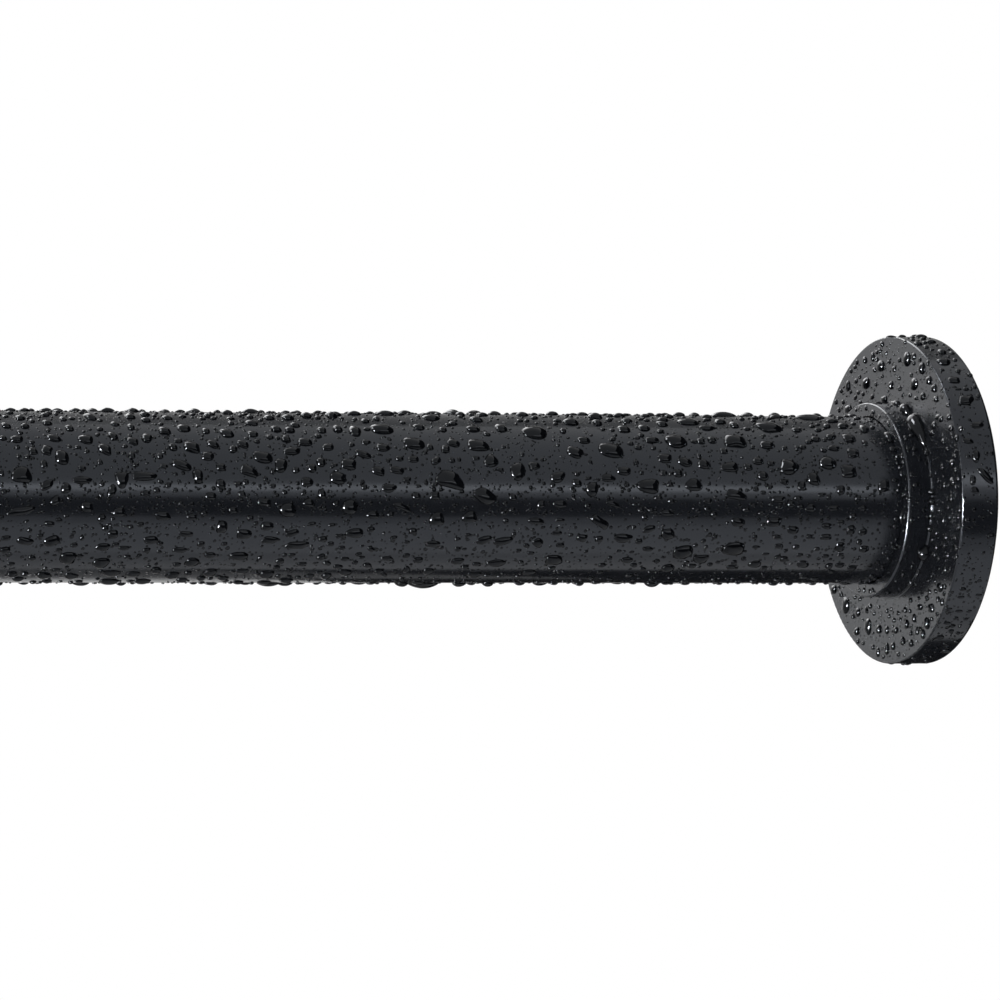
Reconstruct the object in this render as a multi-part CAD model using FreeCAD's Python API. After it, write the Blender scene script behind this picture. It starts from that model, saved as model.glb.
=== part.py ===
import FreeCAD, Part
import math
import os
from FreeCAD import Vector

# Twist-to-lengthen spring tension rod, in millimetres.
# The origin is the middle of the fixed end's wall face and the rod runs from it along -X.
# A place along the rod is given as its distance from that wall face.

# Tubes
outer_tube_diameter = 25.4
outer_tube_wall = 0.8
tube_gap = 0.8  # between the tubes, taken up by the bush and the guide ring
inner_tube_wall = 0.8
tube_overlap = 130.8  # length of tube still inside the other at full travel
tube_exposed = 31.85  # inner tube that shows when the rod is closed

# Travel
screw_travel = 305.0
spring_travel = 20.0

# Flanges and wall pads
flange_diameter = 50.0
flange_thickness = 6.3
flange_front_rounding = 0.25
flange_back_rounding = 0.6
flange_web = 3.5  # metal between the pad and the tube's end
collar_wall = 2.0
collar_height = 3.95
collar_rounding = 0.25
collar_root_rounding = 0.3
pad_thickness = 2.0
pad_proud = 0.5  # the pad's wall face stands this far out of the flange
pad_rim = 2.0  # flange rim around the pad
pad_groove_width = 1.2
pad_groove_depth = 0.4
pad_groove_spacing = 4.5
pad_plain_centre = 7.0  # middle of the pad, without grooves

# Plug in the outer tube's fixed end
plug_boss_length = 12.0
plug_wall = 3.35
plug_hollow_reserve = 2.0  # room past the retaining screw with the spring fully squeezed

# Spring and its seat
seat_thickness = 3.0
seat_lug_width = 4.0
seat_lug_length = 3.0
spring_length = 66.0
spring_wire = 2.2
spring_active_turns = 11
spring_end_turns = 1.5
spring_end_gap = 0.15  # between the closed turns at each end
spring_side_gap = 2.0

# Lead screw: a round eccentric section, turned about the axis as it goes along
screw_lead = 10.0
nut_wall = 2.95  # thinnest wall of the nut around the thread
screw_eccentricity = 1.0
thread_overrun = 1.0  # how far the nut's thread is cut past its ends
shank_diameter = 9.0
shank_across_flats = 7.0
thrust_collar_thickness = 4.0
washer_thickness = 1.2
retaining_washer_inset = 1.5  # from the plug's hollow to the washer's edge

# Nut, guide ring and end stop
nut_head_length = 12.0
nut_spigot_length = 18.0
nut_lug_length = 5.0
nut_lug_width = 6.0
nut_lug_inset = 7.0  # from the tube's end to the lug
ring_groove_depth = 1.8
ring_width = 6.0
ring_split = 2.0
end_stop_thickness = 5.0

# Mouth bush, swivel plug and swivel washer
bush_sleeve_length = 14.0
bush_lip = 2.0
bush_rounding = 0.5
swivel_plug_length = 25.0
swivel_washer_thickness = 1.0
swivel_washer_inset = 0.6

# Screws
flange_screw_diameter = 5.0
flange_screw_head = 9.6
flange_screw_reserve = 0.5  # plug left past the screw's tip
tapping_screw_diameter = 4.0
tapping_screw_head = 8.0
tapping_screw_head_height = 2.4
tapping_screw_head_rounding = 0.8
tapping_screw_length = 14.0
shoulder_diameter = 6.0
shoulder_head_diameter = 11.0
shoulder_head_height = 1.6
recess_width = 1.1
recess_depth = 1.0

# Clearances, each measured on the radius or between two faces
press_gap = 0.05
socket_gap = 0.15
slide_gap = 0.15
swivel_gap = 0.25
shank_gap = 0.3
thread_gap = 0.3
groove_gap = 0.15
stop_gap = 0.3
face_gap = 0.1

# Points of the thread and of the spring in one turn
turn_rows = 12
section_points = 12

# Sizes that follow
outer_bore = outer_tube_diameter - 2 * outer_tube_wall
inner_tube_diameter = outer_bore - 2 * tube_gap
inner_bore = inner_tube_diameter - 2 * inner_tube_wall
collar_diameter = outer_tube_diameter + 2 * socket_gap + 2 * collar_wall
pad_diameter = flange_diameter - 2 * pad_rim
pad_groove_room = (pad_diameter - pad_plain_centre) / 2 - pad_groove_width
pad_groove_count = math.floor(pad_groove_room / pad_groove_spacing)
plug_hollow_diameter = outer_bore - 2 * press_gap - 2 * plug_wall
retaining_washer_diameter = plug_hollow_diameter - 2 * retaining_washer_inset
spring_diameter = outer_bore - 2 * spring_side_gap
spring_end_pitch = spring_wire + spring_end_gap
screw_section_radius = inner_bore / 2 - press_gap - nut_wall - thread_gap - screw_eccentricity

# Places that follow, from the fixed wall to the free end
flange_front = pad_proud + flange_thickness
collar_front = flange_front + collar_height
socket_floor = pad_thickness + flange_web
plug_hollow_start = socket_floor + plug_boss_length
flange_screw_tip = plug_hollow_start - flange_screw_reserve
plug_hollow_length = washer_thickness + tapping_screw_head_height + spring_travel + plug_hollow_reserve
seat_start = plug_hollow_start + plug_hollow_length
spring_start = seat_start + seat_thickness
spring_end = spring_start + spring_length
thrust_collar_start = spring_end + washer_thickness
thread_start = thrust_collar_start + thrust_collar_thickness
nut_start = thread_start + stop_gap
inner_tube_start = nut_start + nut_head_length
nut_end = inner_tube_start + nut_spigot_length
thread_end = nut_end + screw_travel + stop_gap
mouth = inner_tube_start + screw_travel + tube_overlap
free_collar_front = mouth + bush_lip + tube_exposed
inner_tube_end = free_collar_front + collar_front - socket_floor - swivel_washer_thickness - face_gap
closed_length = free_collar_front + collar_front


def place(distance):
    return Vector(-distance, 0, 0)


def ring(start, end, outer, inner=0.0):
    """A cylinder between two places along the rod, with a bore if an inner diameter is given."""
    away = Vector(-1, 0, 0)
    body = Part.makeCylinder(outer / 2, end - start, place(start), away)
    if inner:
        body = body.cut(Part.makeCylinder(inner / 2, end - start, place(start), away))
    return body


def cone(start, end, start_diameter, end_diameter):
    return Part.makeCone(start_diameter / 2, end_diameter / 2, end - start, place(start), Vector(-1, 0, 0))


def block(start, end, width, height):
    """A box centred on the rod's axis between two places along it."""
    return Part.makeBox(end - start, width, height, Vector(-end, -width / 2, -height / 2))


def round_edges(shape, distance, diameter, rounding):
    """Rounds the circular edges that lie at one place and have one diameter."""
    edges = []
    for edge in shape.Edges:
        curve = edge.Curve
        if not isinstance(curve, Part.Circle):
            continue
        if abs(curve.Center.x + distance) < 1e-6 and abs(2 * curve.Radius - diameter) < 1e-6:
            edges.append(edge)
    return shape.makeFillet(rounding, edges)


def to_free_end(shape):
    """Turns a piece that is drawn at the fixed wall round to the free wall."""
    turned = shape.copy()
    turned.rotate(Vector(0, 0, 0), Vector(0, 0, 1), 180)
    turned.translate(place(closed_length))
    return turned


def skin_solid(rows, rows_in_a_face):
    """A solid with a smooth skin through closed rows of points and a flat face at each end."""
    skins = []
    for first in range(0, len(rows) - 1, rows_in_a_face):
        skin = Part.BSplineSurface()
        skin.interpolate(rows[first:first + rows_in_a_face + 1])
        skins.append(skin)
    first_outline = skins[0].uIso(skins[0].bounds()[0])
    last_outline = skins[-1].uIso(skins[-1].bounds()[1])
    faces = [skin.toShape() for skin in skins]
    for outline in (first_outline, last_outline):
        faces.append(Part.Face(Part.Wire([outline.toShape()])))
    return Part.Solid(Part.Shell(faces))


def thread(start, end, growth=0.0):
    """The threaded stretch, or with a growth the space that a nut leaves around it."""
    turns = (end - start) / screw_lead
    count = math.ceil(turns) * turn_rows
    rows = []
    for i in range(count + 1):
        distance = start + (end - start) * i / count
        turned = 2 * math.pi * distance / screw_lead
        row = []
        for k in range(section_points + 1):
            around = 2 * math.pi * (k % section_points) / section_points
            y = screw_eccentricity * math.cos(turned) + (screw_section_radius + growth) * math.cos(around)
            z = screw_eccentricity * math.sin(turned) + (screw_section_radius + growth) * math.sin(around)
            row.append(Vector(-distance, y, z))
        rows.append(row)
    return skin_solid(rows, turn_rows)


def driver_recess(shape, face, head, inwards):
    """Cuts a cross recess into a screw's head, from its face inwards along the rod."""
    start = min(face, face + inwards * recess_depth)
    end = max(face, face + inwards * recess_depth)
    for width, height in ((recess_width, head / 2), (head / 2, recess_width)):
        shape = shape.cut(block(start, end, width, height))
    return shape


def outer_tube():
    return ring(socket_floor, mouth, outer_tube_diameter, outer_bore)


def inner_tube():
    tube = ring(inner_tube_start, inner_tube_end, inner_tube_diameter, inner_bore)
    lug_start = inner_tube_start + nut_lug_inset
    window = block(
        lug_start - face_gap,
        lug_start + nut_lug_length + face_gap,
        inner_tube_diameter,
        nut_lug_width + 2 * face_gap,
    )
    return tube.cut(window)


def flange(bore):
    """A flange with its collar, drawn at the fixed wall, without its screw's hole."""
    body = ring(pad_proud, flange_front, flange_diameter)
    body = body.fuse(ring(pad_proud, collar_front, collar_diameter)).removeSplitter()
    body = round_edges(body, collar_front, collar_diameter, collar_rounding)
    body = round_edges(body, flange_front, collar_diameter, collar_root_rounding)
    body = round_edges(body, flange_front, flange_diameter, flange_front_rounding)
    body = round_edges(body, pad_proud, flange_diameter, flange_back_rounding)
    body = body.cut(ring(pad_proud, pad_thickness, pad_diameter + 2 * press_gap))
    return body.cut(ring(socket_floor, collar_front, bore))


def fixed_flange():
    body = flange(outer_tube_diameter + 2 * socket_gap)
    head_depth = (flange_screw_head - flange_screw_diameter) / 2
    body = body.cut(ring(pad_thickness, socket_floor, flange_screw_diameter + 2 * press_gap))
    return body.cut(
        cone(
            pad_thickness,
            pad_thickness + head_depth,
            flange_screw_head + 2 * press_gap,
            flange_screw_diameter + 2 * press_gap,
        )
    )


def free_flange():
    body = flange(inner_tube_diameter + 2 * swivel_gap)
    head_pocket = pad_thickness + shoulder_head_height + 2 * face_gap
    body = body.cut(ring(pad_thickness, head_pocket, shoulder_head_diameter + 2 * swivel_gap))
    body = body.cut(ring(pad_thickness, socket_floor, shoulder_diameter + 2 * face_gap))
    return to_free_end(body)


def wall_pad():
    """A rubber disc with rings moulded into its wall face, drawn at the fixed wall."""
    pad = ring(0, pad_thickness, pad_diameter)
    for i in range(pad_groove_count):
        outside = pad_diameter - 2 * (i + 1) * pad_groove_spacing
        pad = pad.cut(ring(0, pad_groove_depth, outside, outside - 2 * pad_groove_width))
    return pad


def tube_plug():
    plug = ring(socket_floor, seat_start, outer_bore - 2 * press_gap)
    plug = plug.cut(ring(plug_hollow_start, seat_start, plug_hollow_diameter))
    plug = plug.cut(ring(socket_floor, plug_hollow_start, flange_screw_diameter + 2 * press_gap))
    slot_start = seat_start - seat_lug_length - face_gap
    return plug.cut(block(slot_start, seat_start, outer_bore, seat_lug_width + 2 * face_gap))


def flange_screw():
    head_depth = (flange_screw_head - flange_screw_diameter) / 2
    screw = ring(pad_thickness, flange_screw_tip, flange_screw_diameter)
    head = cone(pad_thickness, pad_thickness + head_depth, flange_screw_head, flange_screw_diameter)
    return driver_recess(screw.fuse(head), pad_thickness, flange_screw_head, 1)


def shank(start, end, growth=0.0):
    """A round bar with two flats."""
    flats = shank_across_flats + 2 * growth
    bar = ring(start, end, shank_diameter + 2 * growth)
    return bar.common(block(start, end, shank_diameter + 2 * growth, flats))


def spring_seat():
    seat_diameter = outer_bore - 2 * slide_gap
    seat = ring(seat_start, spring_start, seat_diameter)
    lugs = ring(seat_start - seat_lug_length, seat_start, seat_diameter, plug_hollow_diameter)
    lugs = lugs.common(block(seat_start - seat_lug_length, seat_start, seat_diameter, seat_lug_width))
    return seat.fuse(lugs).cut(shank(seat_start, spring_start, shank_gap)).removeSplitter()


def compression_spring():
    """A coil with closed turns at both ends, ground flat to the spring's length."""
    active_pitch = (spring_length - 2 * spring_end_turns * spring_end_pitch) / spring_active_turns
    total_turns = spring_active_turns + 2 * spring_end_turns
    coil_radius = (spring_diameter - spring_wire) / 2
    count = math.ceil(total_turns * turn_rows)
    rows = []
    for i in range(count + 1):
        turns = total_turns * i / count
        closed = min(turns, spring_end_turns) + max(0.0, turns - spring_end_turns - spring_active_turns)
        distance = spring_start + closed * spring_end_pitch + (turns - closed) * active_pitch
        angle = 2 * math.pi * turns
        row = []
        for k in range(section_points + 1):
            around = 2 * math.pi * (k % section_points) / section_points
            radius = coil_radius + spring_wire / 2 * math.cos(around)
            along = distance + spring_wire / 2 * math.sin(around)
            row.append(Vector(-along, radius * math.cos(angle), radius * math.sin(angle)))
        rows.append(row)
    coil = skin_solid(rows, turn_rows)
    return coil.common(ring(spring_start, spring_end, outer_bore))


def tapping_screw(face, inwards):
    """A pan-head screw with its head on a face, that runs inwards along the rod."""
    tip = face + inwards * tapping_screw_length
    top = face - inwards * tapping_screw_head_height
    screw = ring(min(face, tip), max(face, tip), tapping_screw_diameter)
    head = ring(min(face, top), max(face, top), tapping_screw_head)
    head = round_edges(head, top, tapping_screw_head, tapping_screw_head_rounding)
    return driver_recess(screw.fuse(head).removeSplitter(), top, tapping_screw_head, inwards)


def lead_screw():
    body = shank(seat_start, thrust_collar_start)
    body = body.fuse(ring(thrust_collar_start, thread_start, spring_diameter))
    body = body.fuse(thread(thread_start, thread_end))
    hole = tapping_screw_diameter + 2 * press_gap
    body = body.cut(ring(seat_start, seat_start + tapping_screw_length, hole))
    return body.cut(ring(thread_end - tapping_screw_length, thread_end, hole))


def thrust_washer():
    return ring(spring_end, thrust_collar_start, spring_diameter, shank_diameter + 2 * shank_gap)


def retaining_washer():
    """Bears on the seat from behind and keeps the shank in it."""
    start = seat_start - face_gap - washer_thickness
    hole = tapping_screw_diameter + 2 * press_gap
    return ring(start, seat_start - face_gap, retaining_washer_diameter, hole)


def retaining_screw():
    return tapping_screw(seat_start - face_gap - washer_thickness, 1)


def end_stop():
    hole = tapping_screw_diameter + 2 * press_gap
    return ring(thread_end, thread_end + end_stop_thickness, inner_bore - 2 * stop_gap, hole)


def end_stop_screw():
    return tapping_screw(thread_end + end_stop_thickness, -1)


def ring_groove():
    start = nut_start + (nut_head_length - ring_width) / 2
    return start, start + ring_width


def drive_nut():
    spigot_diameter = inner_bore - 2 * press_gap
    nut = ring(nut_start, inner_tube_start, inner_tube_diameter)
    nut = nut.fuse(ring(inner_tube_start, nut_end, spigot_diameter))
    lug_start = inner_tube_start + nut_lug_inset
    lug_end = lug_start + nut_lug_length
    lugs = ring(lug_start, lug_end, inner_tube_diameter - 2 * press_gap)
    nut = nut.fuse(lugs.common(block(lug_start, lug_end, inner_tube_diameter, nut_lug_width)))
    groove_start, groove_end = ring_groove()
    groove_floor = inner_tube_diameter - 2 * ring_groove_depth
    nut = nut.cut(ring(groove_start, groove_end, inner_tube_diameter, groove_floor))
    return nut.cut(thread(nut_start - thread_overrun, nut_end + thread_overrun, thread_gap))


def guide_ring():
    """A split ring in the nut's groove, which rides in the outer tube."""
    groove_start, groove_end = ring_groove()
    inside = inner_tube_diameter - 2 * ring_groove_depth + 2 * groove_gap
    start = groove_start + groove_gap
    end = groove_end - groove_gap
    body = ring(start, end, outer_bore - 2 * slide_gap, inside)
    slot = Part.makeBox(end - start, ring_split, outer_bore, Vector(-end, -ring_split / 2, 0))
    return body.cut(slot)


def mouth_bush():
    bore = inner_tube_diameter + 2 * slide_gap
    lip_end = mouth + bush_lip
    lip = ring(mouth, lip_end, outer_tube_diameter)
    lip = round_edges(lip, lip_end, outer_tube_diameter, bush_rounding)
    sleeve_start = mouth - bush_sleeve_length
    sleeve = ring(sleeve_start, mouth, outer_bore - 2 * press_gap)
    return lip.fuse(sleeve).cut(ring(sleeve_start, lip_end, bore)).removeSplitter()


def swivel_plug():
    plug = ring(inner_tube_end - swivel_plug_length, inner_tube_end, inner_bore - 2 * press_gap)
    hole = tapping_screw_diameter + 2 * press_gap
    return plug.cut(ring(inner_tube_end - tapping_screw_length, inner_tube_end, hole))


def swivel_washer():
    """Runs between the inner tube's end and the free flange's web."""
    outside = inner_tube_diameter - 2 * swivel_washer_inset
    hole = shoulder_diameter + 2 * press_gap
    return ring(inner_tube_end, inner_tube_end + swivel_washer_thickness, outside, hole)


def swivel_screw():
    """A shoulder screw: its shoulder clears the flange's web, and its thread ends in the swivel plug."""
    head_end = closed_length - pad_thickness - face_gap
    head_start = head_end - shoulder_head_height
    screw = ring(head_start, head_end, shoulder_head_diameter)
    screw = screw.fuse(ring(inner_tube_end, head_start, shoulder_diameter))
    screw = screw.fuse(ring(inner_tube_end - tapping_screw_length, inner_tube_end, tapping_screw_diameter))
    return driver_recess(screw.removeSplitter(), head_end, shoulder_head_diameter, -1)


pieces = {
    "outer_tube": outer_tube(),
    "fixed_flange": fixed_flange(),
    "fixed_wall_pad": wall_pad(),
    "tube_plug": tube_plug(),
    "flange_screw": flange_screw(),
    "spring_seat": spring_seat(),
    "compression_spring": compression_spring(),
    "mouth_bush": mouth_bush(),
    "lead_screw": lead_screw(),
    "thrust_washer": thrust_washer(),
    "retaining_washer": retaining_washer(),
    "retaining_screw": retaining_screw(),
    "end_stop": end_stop(),
    "end_stop_screw": end_stop_screw(),
    "guide_ring": guide_ring(),
    "drive_nut": drive_nut(),
    "inner_tube": inner_tube(),
    "swivel_plug": swivel_plug(),
    "swivel_washer": swivel_washer(),
    "swivel_screw": swivel_screw(),
    "free_flange": free_flange(),
    "free_wall_pad": to_free_end(wall_pad()),
}

os.makedirs("parts", exist_ok=True)
for name, shape in pieces.items():
    shape.exportStep(f"parts/{name}.step")
    print(f"{name}: {len(shape.Solids)} solid, {shape.Volume:.1f} mm3, valid {shape.isValid()}")
print(f"closed length {closed_length:.2f} mm, open length {closed_length + screw_travel:.2f} mm")
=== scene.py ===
import math
import random
import bpy
from mathutils import Matrix, Vector


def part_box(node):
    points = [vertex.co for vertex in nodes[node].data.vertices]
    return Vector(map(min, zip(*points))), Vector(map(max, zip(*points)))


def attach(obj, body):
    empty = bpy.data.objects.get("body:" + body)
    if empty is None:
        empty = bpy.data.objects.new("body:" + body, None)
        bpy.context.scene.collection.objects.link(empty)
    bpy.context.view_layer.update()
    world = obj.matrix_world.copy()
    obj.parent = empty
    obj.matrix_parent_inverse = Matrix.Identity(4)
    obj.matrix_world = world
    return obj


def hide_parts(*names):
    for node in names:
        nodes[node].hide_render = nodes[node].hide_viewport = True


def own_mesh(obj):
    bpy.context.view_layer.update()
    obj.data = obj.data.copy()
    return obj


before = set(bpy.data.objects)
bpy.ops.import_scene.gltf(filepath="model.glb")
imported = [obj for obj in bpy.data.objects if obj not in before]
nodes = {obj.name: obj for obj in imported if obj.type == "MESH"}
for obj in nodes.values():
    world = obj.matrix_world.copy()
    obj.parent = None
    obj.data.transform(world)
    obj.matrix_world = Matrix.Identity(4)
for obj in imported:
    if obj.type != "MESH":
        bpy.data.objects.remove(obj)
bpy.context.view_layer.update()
fullTurn = 2 * math.pi
perMetre = 1000  # millimetres in a metre
print("frame loaded,", len(nodes), "nodes")


class Wire:  # one socket, so that shader maths reads as plain expressions
    def __init__(self, finish, socket):
        self.finish = finish
        self.socket = socket

    def maths(self, operation, *values):
        return self.finish.node("Math", {"operation": operation}, dict(enumerate(values)))

    def other(self, name):  # another output of the same node
        return Wire(self.finish, self.socket.node.outputs[name])

    def __add__(self, value):
        return self.maths("ADD", self, value)

    def __sub__(self, value):
        return self.maths("SUBTRACT", self, value)

    def __rsub__(self, value):
        return self.maths("SUBTRACT", value, self)

    def __mul__(self, value):
        return self.maths("MULTIPLY", self, value)

    def __truediv__(self, value):
        return self.maths("DIVIDE", self, value)

    def __pow__(self, value):
        return self.maths("POWER", self, value)

    def __lt__(self, value):
        return self.maths("LESS_THAN", self, value)

    def atLeast(self, value):
        return self.maths("MAXIMUM", self, value)

    __radd__ = __add__
    __rmul__ = __mul__


class Finish:  # the nodes of one material, or of the world
    def __init__(self, name, owner=None):
        self.owner = owner or bpy.data.materials.new(name)
        self.owner.use_nodes = True
        self.tree = self.owner.node_tree
        self.tree.nodes.clear()

    def node(self, kind, settings=None, sockets=None, out=0):
        made = self.tree.nodes.new("ShaderNode" + kind)
        for key, value in (settings or {}).items():
            setattr(made, key, value)
        for key, value in (sockets or {}).items():
            if isinstance(value, Wire):
                self.tree.links.new(value.socket, made.inputs[key])
            else:
                made.inputs[key].default_value = value
        return Wire(self, made.outputs[out]) if made.outputs else made

    def millimetres(self, stretch=(1, 1, 1)):  # place on the piece, with the scale of any stretch
        place = self.node("TexCoord", out="Object")
        scale = [perMetre * s for s in stretch]
        return self.node("VectorMath", {"operation": "MULTIPLY"}, {0: place, 1: scale})

    def noise(self, point, size, detail=3, rough=0.55):  # size of its patches in mm
        sockets = {"Vector": point, "Scale": 1 / size, "Detail": detail, "Roughness": rough}
        return self.node("TexNoise", {}, sockets)

    def between(self, share, low, high):  # two colours, and the low one may be a wire
        low = low if isinstance(low, Wire) else (*low, 1)
        return self.node("Mix", {"data_type": "RGBA"}, {0: share, 6: low, 7: (*high, 1)}, out=2)

    def bump(self, height):  # height in mm
        return self.node("Bump", {}, {"Height": height, "Distance": 1 / perMetre, "Strength": 1.0})

    def shader(self, **sockets):
        return self.node("BsdfPrincipled", {}, {key.replace("_", " "): v for key, v in sockets.items()})

    def surface(self, **sockets):
        self.node("OutputMaterial", {}, {"Surface": self.shader(**sockets)})
        return self.owner


def dress(nodeNames, material):
    for name in nodeNames:
        for materialSlot in nodes[name].material_slots:
            materialSlot.material = material


# Satin black paint, and the water on it: nearly black, because black paint is all that shows through it.
# The sizes, depths and heights of every finish are in mm.
paintLook = {
    "dark": (0.0040, 0.0047, 0.0066),
    "light": (0.0072, 0.0082, 0.0106),
    "cloudSize": 22,
    "cloudShare": 0.6,
    "filmSize": 3.2,
    "middleTone": 0.32,
    "contrast": 2.6,
    "roughness": 0.17,
    "roughnessSpread": 0.07,
    "gloss": 1.41,
    # painted light: this bluish tint on the paint's reflections stands in for the studio's bluish light
    "bluishLightTint": (0.84, 0.90, 1.0, 1),
    "peelSize": 1.1,
    "peelDepth": 0.0035,
    "grainSize": 0.16,
    "grainDepth": 0.0016,
    "specks": (  # size of the cells, widest radius, and the share of the cells that hold a speck
        {"cell": 0.55, "widest": 0.22, "share": 0.40},
        {"cell": 0.80, "widest": 0.30, "share": 0.34},
        {"cell": 1.15, "widest": 0.42, "share": 0.30},
    ),
    "smallestSpeck": 0.4,  # share of the widest radius
    "speckHeight": 0.42,  # share of its own radius
    "speckEdge": 1 / 120,  # height from which a speck is water
}
waterLook = {
    "dark": (0.0012, 0.0014, 0.0019),
    "light": (0.0026, 0.0030, 0.0040),
    "cloudSize": 2.5,
    "roughness": 0.02,
    "roughnessSpread": 0.03,
    "gloss": 1.27,
    # painted light: this bluish tint on the water's reflections stands in for the studio's bluish light
    "bluishLightTint": (0.88, 0.93, 1.0, 1),
    "rippleSize": 0.7,
    "rippleDepth": 0.004,
}


def specks(finish, point, look, cell, widest, share):
    cells = finish.node("TexVoronoi", {}, {"Vector": point, "Scale": 1 / cell})
    luck = finish.node("SeparateColor", {}, {0: cells.other("Color")})
    smallest = look["smallestSpeck"]
    radius = (luck * (1 - smallest) + smallest) * (widest / cell)
    inside = (1 - (cells / radius) ** 2).atLeast(0)
    dome = inside ** 0.5 * radius * (luck.other("Green") < share)
    return dome * (cell * look["speckHeight"])


def waterShader(finish, look, normal):
    cloud = finish.noise(finish.millimetres(), look["cloudSize"], 2)
    return finish.shader(
        Base_Color=finish.between(cloud, look["dark"], look["light"]),
        Roughness=cloud * look["roughnessSpread"] + look["roughness"],
        IOR=look["gloss"],
        Specular_Tint=look["bluishLightTint"],
        Normal=normal,
    )


def wetPaint(name, look):  # drops too small to model are domes in its bump
    finish = Finish(name)
    point = finish.millimetres()
    cloud = finish.noise(point, look["cloudSize"])
    film = finish.noise(point, look["filmSize"], 4, 0.6)
    water = None
    for sizes in look["specks"]:
        layer = specks(finish, point, look, **sizes)
        water = layer if water is None else water.atLeast(layer)
    wet = 1 - (water < look["speckEdge"])  # 1 where a speck lies
    peel = finish.noise(point, look["peelSize"], 2) * look["peelDepth"]
    grain = finish.noise(point, look["grainSize"], 2) * look["grainDepth"]
    tone = cloud * look["cloudShare"] + film * (1 - look["cloudShare"]) - look["middleTone"]
    paint = finish.shader(
        Base_Color=finish.between(tone * look["contrast"], look["dark"], look["light"]),
        Roughness=(film - 0.5) * look["roughnessSpread"] + look["roughness"],
        IOR=look["gloss"],
        Specular_Tint=look["bluishLightTint"],
        Normal=finish.bump(peel + grain),
    )
    speck = waterShader(finish, waterLook, finish.bump(water))
    mixed = finish.node("MixShader", {}, {0: wet, 1: paint, 2: speck})
    finish.node("OutputMaterial", {}, {"Surface": mixed})
    return finish.owner


def waterFinish(look):
    finish = Finish("waterDrops")
    ripple = finish.noise(finish.millimetres(), look["rippleSize"], 1) * look["rippleDepth"]
    finish.node("OutputMaterial", {}, {"Surface": waterShader(finish, look, finish.bump(ripple))})
    return finish.owner


# Rubber of the wall pads, with a dusty bloom
rubberLook = {
    "dark": (0.010, 0.010, 0.011),
    "light": (0.021, 0.021, 0.022),
    "roughness": 0.52,
    "roughnessSpread": 0.25,
    "gloss": 1.46,
    "poreSize": 0.22,
    "poreDepth": 0.02,
    "bloomSize": 9,
    "bloomDepth": 0.03,
    "dust": (0.11, 0.105, 0.10),
    "dustFrom": 0.55,
    "dustContrast": 1.6,
}


def rubberFinish(look):
    finish = Finish("padRubber")
    point = finish.millimetres()
    bloom = finish.noise(point, look["bloomSize"], 4, 0.65)
    pores = finish.noise(point, look["poreSize"], 2)
    dusty = ((bloom - look["dustFrom"]) * look["dustContrast"]).atLeast(0)
    body = finish.between(pores, look["dark"], look["light"])
    return finish.surface(
        Base_Color=finish.between(dusty, body, look["dust"]),
        Roughness=bloom * look["roughnessSpread"] + look["roughness"],
        IOR=look["gloss"],
        Normal=finish.bump(pores * look["poreDepth"] + bloom * look["bloomDepth"]),
    )


# Moulded plastics of the plugs, nut, bush and lead screw
plastics = {
    "blackNylon": {
        "nodes": ("mouth_bush", "guide_ring"),
        "dark": (0.008, 0.008, 0.009),
        "light": (0.018, 0.018, 0.020),
        "roughness": 0.42,
    },
    "naturalNylon": {
        "nodes": ("tube_plug", "spring_seat", "swivel_plug", "drive_nut", "end_stop"),
        "dark": (0.50, 0.47, 0.38),
        "light": (0.66, 0.63, 0.54),
        "roughness": 0.46,
    },
    "whiteAcetal": {
        "nodes": ("lead_screw", "swivel_washer"),
        "dark": (0.62, 0.60, 0.55),
        "light": (0.76, 0.75, 0.70),
        "roughness": 0.33,
    },
}
moulding = {  # what all of them share: the flow of the plastic along the piece, and a fine grain
    "flowStretch": (0.25, 1, 1),
    "flowSize": 5,
    "flowDepth": 0.02,
    "flowRoughness": 0.1,
    "grainSize": 0.12,
    "grainDepth": 0.006,
    "grainRoughness": 0.16,
    "gloss": 1.5,
}


def plasticFinish(name, look):
    finish = Finish(name)
    grain = finish.noise(finish.millimetres(), moulding["grainSize"])
    flow = finish.noise(finish.millimetres(moulding["flowStretch"]), moulding["flowSize"])
    rough = (grain - 0.5) * moulding["grainRoughness"] + flow * moulding["flowRoughness"]
    return finish.surface(
        Base_Color=finish.between(flow, look["dark"], look["light"]),
        Roughness=rough + look["roughness"],
        IOR=moulding["gloss"],
        Normal=finish.bump(grain * moulding["grainDepth"] + flow * moulding["flowDepth"]),
    )


# Spring wire, and the plated screws and washers
metals = {
    "springSteel": {
        "nodes": ("compression_spring",),
        "dark": (0.20, 0.20, 0.21),
        "light": (0.38, 0.38, 0.40),
        "stain": (0.13, 0.09, 0.06),
        "roughness": 0.24,
    },
    "platedSteel": {
        "nodes": (
            "flange_screw", "thrust_washer", "retaining_washer",
            "retaining_screw", "end_stop_screw", "swivel_screw",
        ),
        "dark": (0.47, 0.49, 0.50),
        "light": (0.66, 0.67, 0.66),
        "stain": (0.34, 0.33, 0.25),
        "roughness": 0.20,
    },
}
metalWear = {  # what both share: scratches along the piece, and stains
    "cloudSize": 2.4,
    "scratchStretch": (0.06, 1, 1),
    "scratchSize": 0.10,
    "scratchDepth": 0.004,
    "scratchRoughness": 0.18,
    "stainSize": 1.3,
    "stainFrom": 0.56,
    "stainContrast": 4,
    "stainRoughness": 0.2,
}


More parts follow.
